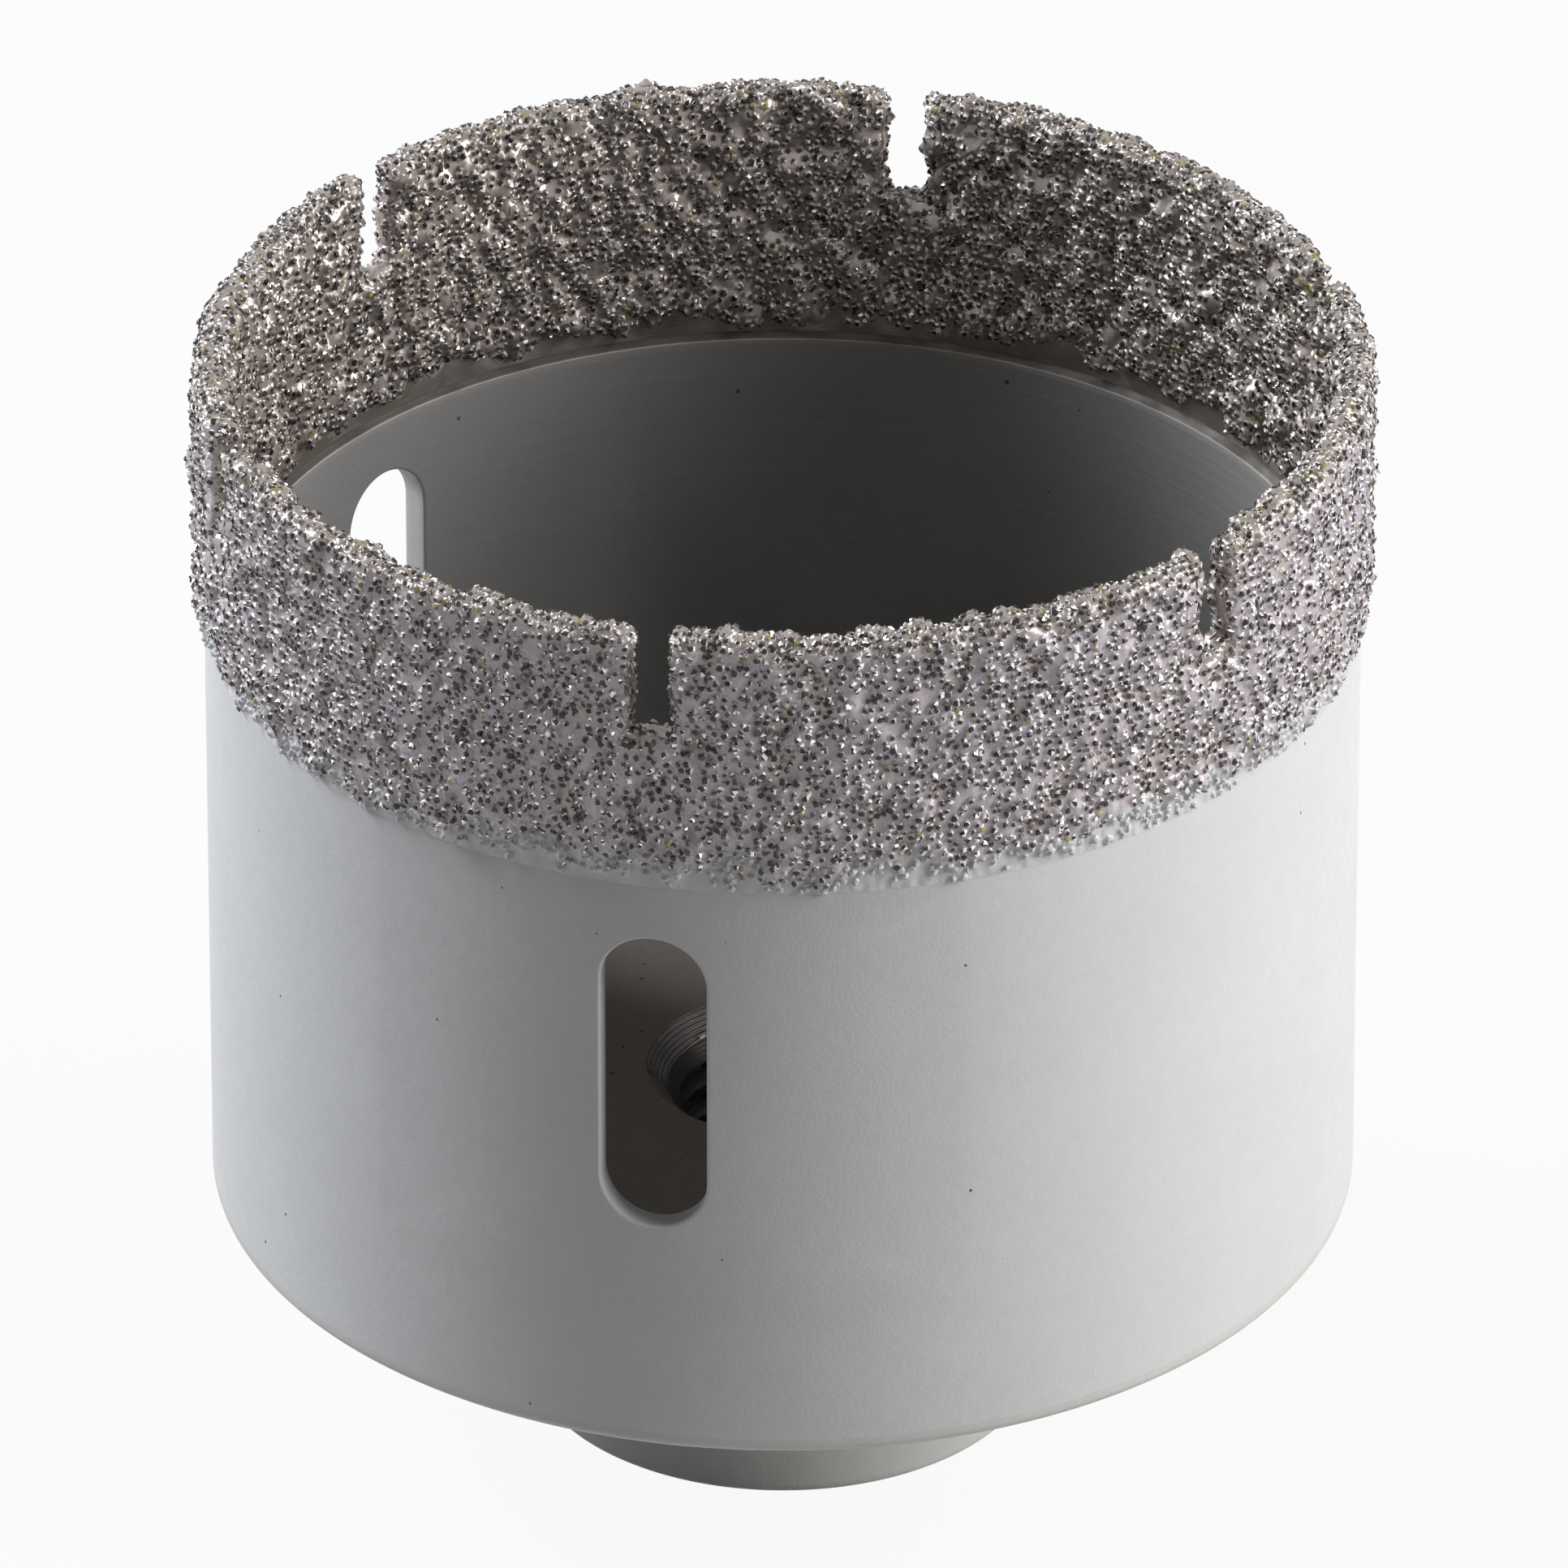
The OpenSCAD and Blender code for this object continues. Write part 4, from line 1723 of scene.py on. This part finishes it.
@dataclass(frozen=True)
class MattPaint:
    """Matt sprayed paint: fine orange peel, slow changes of tone, and stray specks of dust.

    Attributes:
        name: name of the material.
        colour: its colour.
        dust: its dark specks.
        lint: its pale specks.
        roughness: its roughness.
        peel: height of the orange peel, in metres.
        rings: height of the turning marks that show through it, in metres.
        tone: how much the slow changes of tone darken it.
    """

    name: str
    colour: Colour
    dust: Specks = Specks()
    lint: Specks = Specks((0.85, 0.85, 0.84), cells=330.0, size=0.028, share=0.02)
    roughness: float = 0.62
    peel: float = 0.000014
    rings: float = 0.0
    tone: float = 0.015

    def build(self, effects: Effects) -> Material:
        """Builds the material.

        Args:
            effects: the shared node groups.

        Returns:
            The material.
        """
        material, bench, shader = new_material(self.name, Specular_IOR_Level=0.3)
        spot = bench.where()
        dark, light = self.dust.mask(bench, effects, spot), self.lint.mask(bench, effects, spot)
        peel = bench.group(effects.grain, {"Vector": spot, "Scale": 4200.0, "Coarse": 0.8}).outputs[0]
        slow = bench.noise(spot, 90.0, 3.0)
        darker, lighter = self.shade(1 - self.tone), self.shade(1 + self.tone)
        base = bench.mixed(bench.remap(slow, 0.35, 0.65), darker, lighter)
        base = bench.mixed(bench.math("MULTIPLY", bench.remap(peel, 0.6, 1.2), 0.10), base, self.shade(0.7))
        base = bench.mixed(dark, base, rgba(self.dust.colour))
        base = bench.mixed(bench.math("MULTIPLY", light, 0.5), base, rgba(self.lint.colour))
        normal = bench.bump(peel, self.peel)
        if self.rings:
            streak = bench.add("Mapping", {"Vector": spot, "Scale": (60.0, 60.0, 3000.0)}).outputs[0]
            marks = bench.noise(streak, 1.0, 3.0)
            pale = bench.math("MULTIPLY", bench.remap(marks, 0.5, 0.7), 0.08)
            base = bench.mixed(pale, base, self.shade(1.5))
            normal = bench.bump(marks, self.rings, normal)
        bench.feed(shader, {
            "Base Color": base,
            "Roughness": bench.remap(peel, 0.5, 1.3, self.roughness - 0.06, self.roughness + 0.06),
            "Normal": bench.bump(bench.math("ADD", dark, light), 0.00003, normal, strength=0.7),
        })
        return material

    def shade(self, strength: float) -> tuple[float, float, float, float]:
        """Gives the paint's colour, lighter or darker by a factor, with no part above 1."""
        return rgba(tuple(min(1.0, c * strength) for c in self.colour))


@dataclass(frozen=True)
class TurnedSteel:
    """Bare steel with turning marks: fine rings across the cut.

    Attributes:
        name: name of the material.
        colour: colour of the steel.
        stain: colour of the stains on it.
        roughness: its roughness.
        metallic: how metallic it is.
        ring_step: distance between rings along Z, in metres.
        ring_height: height of the rings, in metres.
    """

    name: str
    colour: Colour
    stain: Colour
    roughness: float
    metallic: float
    ring_step: float = 0.00018
    ring_height: float = 0.000004

    def build(self, effects: Effects) -> Material:
        """Builds the material.

        Args:
            effects: the shared node groups.

        Returns:
            The material.
        """
        material, bench, shader = new_material(self.name, Metallic=self.metallic)
        spot = bench.where()
        split = bench.add("SeparateXYZ", {"Vector": spot})
        rings = bench.math("SINE", bench.math("MULTIPLY", split.outputs["Z"], 2 * math.pi / self.ring_step))
        uneven = bench.group(effects.grain, {"Vector": spot, "Scale": 2400.0, "Coarse": 1.0}).outputs[0]
        stains = bench.noise(spot, 380.0, 4.0)
        bench.feed(shader, {
            "Base Color": bench.mixed(bench.remap(stains, 0.4, 0.7), rgba(self.colour), rgba(self.stain)),
            "Roughness": bench.remap(stains, 0.3, 0.7, self.roughness - 0.08, self.roughness + 0.15),
            "Normal": bench.bump(bench.math("ADD", rings, uneven), self.ring_height),
        })
        return material


@dataclass(frozen=True)
class Braze:
    """Nickel braze that has run smooth between the grains.

    Attributes:
        name: name of the material.
        cool: its bluish tone.
        warm: its pinkish tone.
        bronzed_and_shaded: its warmer tone on the lip and inside; its darkness is partly painted shade inside
            the cup.
        dark: colour of the flux left in its hollows.
        paint: colour of the paint over the coat's foot, darkened as painted shade.
        bronzed_r: distance from the axis within which it is bronzed, in metres.
        bronzed_z: height from which it is bronzed, in metres.
        roughness: its roughness.
        metallic: how metallic it is under its film of flux.
        bronzed_metallic: how metallic it is on the lip and inside.
        lump_size: size of the small lumps, in metres.
        lump_height: height of the small lumps, in metres.
    """

    name: str
    cool: Colour
    warm: Colour
    bronzed_and_shaded: Colour
    dark: Colour
    paint: Colour
    bronzed_r: float = 0.0335
    bronzed_z: float = 0.0665
    roughness: float = 0.22
    metallic: float = 0.14
    bronzed_metallic: float = 0.32
    lump_size: float = 0.0010
    lump_height: float = 0.0003

    def build(self, effects: Effects) -> Material:
        """Builds the material.

        Args:
            effects: the shared node groups.

        Returns:
            The material.
        """
        material, bench, shader = new_material(self.name, Specular_IOR_Level=0.8)
        spot = bench.where()
        flat = bench.add("VectorMath", {0: spot, 1: (1.0, 1.0, 0.0)}, operation="MULTIPLY").outputs[0]
        radius = bench.add("VectorMath", {0: flat}, operation="LENGTH").outputs["Value"]
        height = bench.add("SeparateXYZ", {"Vector": spot}).outputs["Z"]
        inside = bench.remap(radius, self.bronzed_r + 0.0002, self.bronzed_r - 0.0002)
        high = bench.remap(height, self.bronzed_z - 0.0004, self.bronzed_z + 0.0004)
        tone, flux = bench.noise(spot, 170.0, 3.0), bench.noise(spot, 900.0, 2.0)
        # The lip and the inside take the bronzed tone, which is darker partly as painted shade inside the cup
        bronzed_and_shaded = bench.math("MAXIMUM", inside, bench.math("MULTIPLY", high, 0.8))
        bare = bench.mixed(bench.remap(tone, 0.38, 0.62), rgba(self.cool), rgba(self.warm))
        bare = bench.mixed(bronzed_and_shaded, bare, rgba(self.bronzed_and_shaded))
        bare = bench.mixed(bench.remap(flux, 0.58, 0.72, 0.0, 0.6), bare, rgba(self.dark))
        more = self.bronzed_metallic - self.metallic
        tall = bench.add("Mapping", {"Vector": spot, "Scale": (1.0, 1.0, 0.6)}).outputs[0]
        lumps = bench.bump(bench.noise(tall, 1 / self.lump_size, 1.0), self.lump_height)
        ripple = bench.group(effects.grain, {"Vector": spot, "Scale": 5200.0, "Coarse": 2.0}).outputs[0]
        over = bench.group(effects.painted_over, {
            "Bare Color": bare,
            "Paint Color": rgba(self.paint),
            "Bare Roughness": bench.remap(flux, 0.3, 0.75, self.roughness - 0.07, self.roughness + 0.2),
            "Bare Metallic": bench.math("MULTIPLY_ADD", bronzed_and_shaded, more, self.metallic),
            "Painted": bench.marked(Mark.PAINTED),
        })
        bench.dress(shader, over, bench.bump(ripple, 0.00002, lumps))
        return material


@dataclass(frozen=True)
class Grit:
    """Synthetic diamond grains: dark, glassy, a few of them yellow, some facets coloured near white as
    painted glints.

    Attributes:
        name: name of the material.
        tones: colours of the grains, each from a share of them on; the near-white one is a painted glint.
        paint: colour of the paint over the coat's foot, darkened as painted shade.
        roughness: their roughness.
        ior: their index of refraction.
        glint_metallic: how metallic the facets with painted glints are.
    """

    name: str
    tones: tuple[tuple[float, Colour], ...]
    paint: Colour
    roughness: float = 0.20
    ior: float = 1.65
    glint_metallic: float = 0.35

    def build(self, effects: Effects) -> Material:
        """Builds the material.

        Args:
            effects: the shared node groups.

        Returns:
            The material.
        """
        material, bench, shader = new_material(self.name, IOR=self.ior, Specular_IOR_Level=0.25)
        tint = bench.marked(Mark.TINT)
        ramp = bench.add("ValToRGB", {"Fac": tint})
        ramp.color_ramp.interpolation = "CONSTANT"
        stops = ramp.color_ramp.elements
        stops[0].position, stops[0].color = self.tones[0][0], rgba(self.tones[0][1])
        stops[1].position, stops[1].color = self.tones[1][0], rgba(self.tones[1][1])
        for share, colour in self.tones[2:]:
            stops.new(share).color = rgba(colour)
        spot = bench.where()
        chips = bench.group(effects.grain, {"Vector": spot, "Scale": 9000.0, "Coarse": 1.0}).outputs[0]
        glints = bench.math("COMPARE", tint, GLINT_TINT, 0.01)
        over = bench.group(effects.painted_over, {
            "Bare Color": ramp.outputs["Color"],
            "Paint Color": rgba(self.paint),
            "Bare Roughness": bench.remap(chips, 0.6, 1.3, self.roughness - 0.06, self.roughness + 0.16),
            "Bare Metallic": bench.math("MULTIPLY", glints, self.glint_metallic),
            "Painted": bench.marked(Mark.PAINTED),
        })
        bench.dress(shader, over, bench.bump(chips, 0.00001))
        return material


# Studio


@dataclass(frozen=True)
class Softbox:
    """A soft lamp that faces the bit.

    Attributes:
        name: its name.
        azimuth: its direction from the bit, in degrees from -Y towards +X.
        elevation: its height above the horizon, in degrees.
        distance: its distance, in metres.
        width: its width, in metres.
        height: its height, in metres.
        power: its power, in watts.
        colour: its colour.
    """

    name: str
    azimuth: float
    elevation: float
    distance: float
    width: float
    height: float
    power: float
    colour: Colour = (1.0, 1.0, 1.0)

    def build(self, target: Vector) -> None:
        """Sets the lamp up.

        Args:
            target: the point that it faces.
        """
        lamp = bpy.data.lights.new(self.name, "AREA")
        lamp.shape, lamp.size, lamp.size_y = "RECTANGLE", self.width, self.height
        lamp.energy, lamp.color = self.power, self.colour
        aimed(lamp, target, self)


def aimed(data: ID, target: Vector, placed: "Softbox | Studio") -> bpy.types.Object:
    """Puts a lamp or a camera in the scene, facing a target.

    It stands at the target plus its distance times (sin a cos e, -cos a cos e, sin e), where a is its azimuth
    from -Y towards +X and e its elevation.

    Args:
        data: the lamp or the camera, which the object takes its name from.
        target: the point that it faces.
        placed: what holds its azimuth, elevation and distance.

    Returns:
        The object.
    """
    a, e = math.radians(placed.azimuth), math.radians(placed.elevation)
    back = Vector((math.sin(a) * math.cos(e), -math.cos(a) * math.cos(e), math.sin(e)))
    holder = bpy.data.objects.new(data.name, data)
    holder.location = target + back * placed.distance
    holder.rotation_euler = (-back).to_track_quat("-Z", "Y").to_euler()
    bpy.context.scene.collection.objects.link(holder)
    return holder


@dataclass(frozen=True)
class Studio:
    """White floor and surround, softboxes, and the camera.

    Attributes:
        lamps: the softboxes.
        ambient: strength of the surround's light on matt surfaces.
        floor_size: width of the floor, in metres.
        floor_gap: gap between the floor and the bit, in millimetres.
        floor_grey: its grey under the lamps.
        floor_white: share of plain white in the floor as seen; the rest takes light and shadow.
        target: the point on the axis that the camera and the lamps face, in metres.
        azimuth: the camera's azimuth, in degrees.
        elevation: its elevation.
        distance: its distance from the target, in metres.
        lens: its focal length, in millimetres, on a sensor 36 mm wide.
        shift: its shift across and up, as shares of the picture's width.
    """

    lamps: tuple[Softbox, ...]
    ambient: float = 0.03
    floor_size: float = 6.0
    floor_gap: float = 0.03
    floor_grey: float = 0.46
    floor_white: float = 0.93
    target: tuple[float, float, float] = (0.0, 0.0, 0.03925)
    azimuth: float = 12.8
    elevation: float = 29.95
    distance: float = 1.232
    lens: float = 488.94
    shift: tuple[float, float] = (0.00076, -0.00116)

    @staticmethod
    def seen(bench: NodeBench) -> NodeSocket:
        """Gives 1 for rays from the camera, and for those that metal and glass reflect or pass on.

        Args:
            bench: the bench of the world or the material.

        Returns:
            The value.
        """
        rays = bench.add("LightPath").outputs
        either = bench.math("MAXIMUM", rays["Is Camera Ray"], rays["Is Glossy Ray"])
        return bench.math("MAXIMUM", either, rays["Is Transmission Ray"])

    def build_world(self) -> None:
        """Builds the surround: white where it is seen, dim where it lights."""
        world = bpy.data.worlds.new("surround")
        bpy.context.scene.world = world
        world.use_nodes = True
        bench = NodeBench(world.node_tree)
        world.node_tree.nodes.clear()
        dim = bench.add("Background", {"Color": rgba((0.96, 0.98, 1.0)), "Strength": self.ambient})
        white = bench.add("Background", {"Color": rgba((1.0, 1.0, 1.0)), "Strength": 1.0})
        mix = bench.add("MixShader", {0: self.seen(bench), 1: dim.outputs[0], 2: white.outputs[0]})
        bench.add("OutputWorld", {"Surface": mix.outputs[0]})

    def build_floor(self) -> None:
        """Builds the floor under the bit: a sheet with a raised, rounded edge all round, far out of view."""
        half, edge = self.floor_size / 2, 0.05
        outline = np.array([
            [1e-4, 0.0], [half - edge, 0.0], [half, 0.0], [half + edge / 2, edge / 4], [half + edge, edge]
        ])
        turn = np.linspace(0, 2 * math.pi, 65)
        patches = Patchwork()
        patches.add(place(turn[None, :], outline[:, :1], outline[:, 1:]) / MM - [0.0, 0.0, self.floor_gap])
        mesh = surface_mesh("floor", patches.welded())
        material = bpy.data.materials.new("floor_white")
        material.use_nodes = True
        bench = NodeBench(material.node_tree)
        material.node_tree.nodes.clear()
        matt = bench.add("BsdfDiffuse", {"Color": rgba((self.floor_grey,) * 3)})
        white = bench.add("Emission", {"Color": rgba((1.0, 1.0, 1.0)), "Strength": 1.0})
        share = bench.math("MULTIPLY", self.seen(bench), self.floor_white)
        mix = bench.add("MixShader", {0: share, 1: matt.outputs[0], 2: white.outputs[0]})
        bench.add("OutputMaterial", {"Surface": mix.outputs[0]})
        mesh.materials.append(material)
        floor = bpy.data.objects.new("floor", mesh)
        bpy.context.scene.collection.objects.link(floor)

    def build_camera(self) -> None:
        """Sets the camera up at the photograph's viewing angle."""
        lens = bpy.data.cameras.new("camera")
        lens.lens, lens.sensor_width = self.lens, 36.0
        lens.shift_x, lens.shift_y = self.shift
        lens.clip_start, lens.clip_end = 0.05, 20.0
        bpy.context.scene.camera = aimed(lens, Vector(self.target), self)

    def build(self) -> None:
        """Builds the studio."""
        self.build_world()
        self.build_floor()
        self.build_camera()
        for lamp in self.lamps:
            lamp.build(Vector(self.target))


TUBE_PAINT = MattPaint("tube_paint", colour=(0.56, 0.565, 0.574))
# The hub's paint is the tube's paint made darker and warmer, as painted shade for the hub under the flange
HUB_PAINT = MattPaint("hub_paint", colour=(0.53, 0.53, 0.515))
BORE_PAINT = MattPaint(
    "bore_paint", colour=(0.27, 0.27, 0.268), rings=0.00003, tone=0.03,
    dust=Specks((0.09, 0.085, 0.08), cells=480.0, size=0.07, share=0.5),
)
# The floor inside the cup: thin paint with dust, made darker partly as painted shade deep in the cup
FLOOR_PAINT = MattPaint(
    "floor_paint", colour=(0.175, 0.16, 0.145), tone=0.06,
    dust=Specks((0.035, 0.03, 0.028), cells=1000.0, size=0.11, share=0.8),
)
STAINED_STEEL = TurnedSteel(
    "stained_steel", colour=(0.20, 0.175, 0.155), stain=(0.30, 0.28, 0.27), roughness=0.45, metallic=0.5,
)
# A painted highlight: the step's rounded edge is coloured bright tan for the light that catches it
EDGE_HIGHLIGHT_STEEL = TurnedSteel(
    "edge_highlight_steel", colour=(0.45, 0.38, 0.335), stain=(0.33, 0.28, 0.25), roughness=0.6, metallic=0.0,
)
# Painted shade: the step's slope is coloured near black, so that it stays dark under the lamps
SHADED_SLOPE_STEEL = TurnedSteel(
    "shaded_slope_steel", colour=(0.085, 0.076, 0.068), stain=(0.06, 0.055, 0.05), roughness=0.6, metallic=0.2,
)
TURNED_STEEL = TurnedSteel(
    "turned_steel", colour=(0.24, 0.228, 0.218), stain=(0.19, 0.178, 0.168), roughness=0.34, metallic=0.6,
    ring_step=0.00022, ring_height=0.00003,
)
# The thread's steel is coloured near black, as painted shade in the deep hole
THREAD_STEEL = TurnedSteel(
    "thread_steel", colour=(0.06, 0.055, 0.05), stain=(0.035, 0.03, 0.028), roughness=0.4, metallic=0.6,
)
BRAZE = Braze(
    "braze", cool=(0.41, 0.37, 0.405), warm=(0.43, 0.385, 0.405), bronzed_and_shaded=(0.375, 0.33, 0.305),
    dark=(0.10, 0.08, 0.07), paint=SHADED_FOOT_PAINT,
)
GRIT = Grit(
    "diamond_grit",
    tones=(
        (0.0, (0.022, 0.019, 0.018)), (0.40, (0.045, 0.039, 0.036)), (0.65, (0.090, 0.076, 0.068)),
        # The near-white tone from GLINT_FROM is a painted glint on some facets
        (0.82, (0.18, 0.165, 0.155)), (GLINT_FROM, (0.92, 0.91, 0.88)), (YELLOW_FROM, (0.27, 0.24, 0.09)),
    ),
    paint=SHADED_FOOT_PAINT,
)

STUDIO = Studio(
    lamps=(
        Softbox("key", azimuth=92, elevation=22, distance=0.65, width=0.36, height=0.56, power=6.0,
                colour=(1.0, 0.985, 0.965)),
        Softbox("side", azimuth=-99, elevation=37, distance=0.65, width=0.28, height=0.38, power=5.7,
                colour=(0.955, 0.975, 1.0)),
    ),
)


def millimetres(node: Node) -> tuple[Array, Array]:
    """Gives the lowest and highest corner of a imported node, in millimetres."""
    low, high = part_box(node.value)
    return np.array(low) / MM, np.array(high) / MM


def main() -> None:
    """Builds the bit and the studio, piece by piece."""
    logging.basicConfig(level=logging.INFO, format="%(name)s: %(message)s")
    bpy.context.scene.view_settings.view_transform = "Standard"
    tube_low, tube_high = millimetres(Node.BARREL)
    tube_r = round(float(tube_high[0]), 2)
    tube_z = round(float(tube_low[2]), 2)
    effects = Effects()
    wall = Wall(outer_r=tube_r, foot_z=tube_z, rim_z=round(float(tube_high[2]), 2))
    tube_finishes = (TUBE_PAINT, BORE_PAINT, STAINED_STEEL, EDGE_HIGHLIGHT_STEEL, SHADED_SLOPE_STEEL)
    Barrel(wall).build([finish.build(effects) for finish in tube_finishes])
    floor_z = round(float(millimetres(Node.HUB)[1][2]), 2)
    hub = Hub(flange_r=tube_r, flange_z=tube_z - FLANGE_T, seat_z=tube_z, floor_z=floor_z)
    hub.build([finish.build(effects) for finish in (HUB_PAINT, FLOOR_PAINT, TURNED_STEEL, THREAD_STEEL)])
    Coat(wall, lip_z=wall.rim_z + LIP_RISE).build(BRAZE.build(effects), GRIT.build(effects))
    STUDIO.build()


if __name__ == "__main__":
    main()
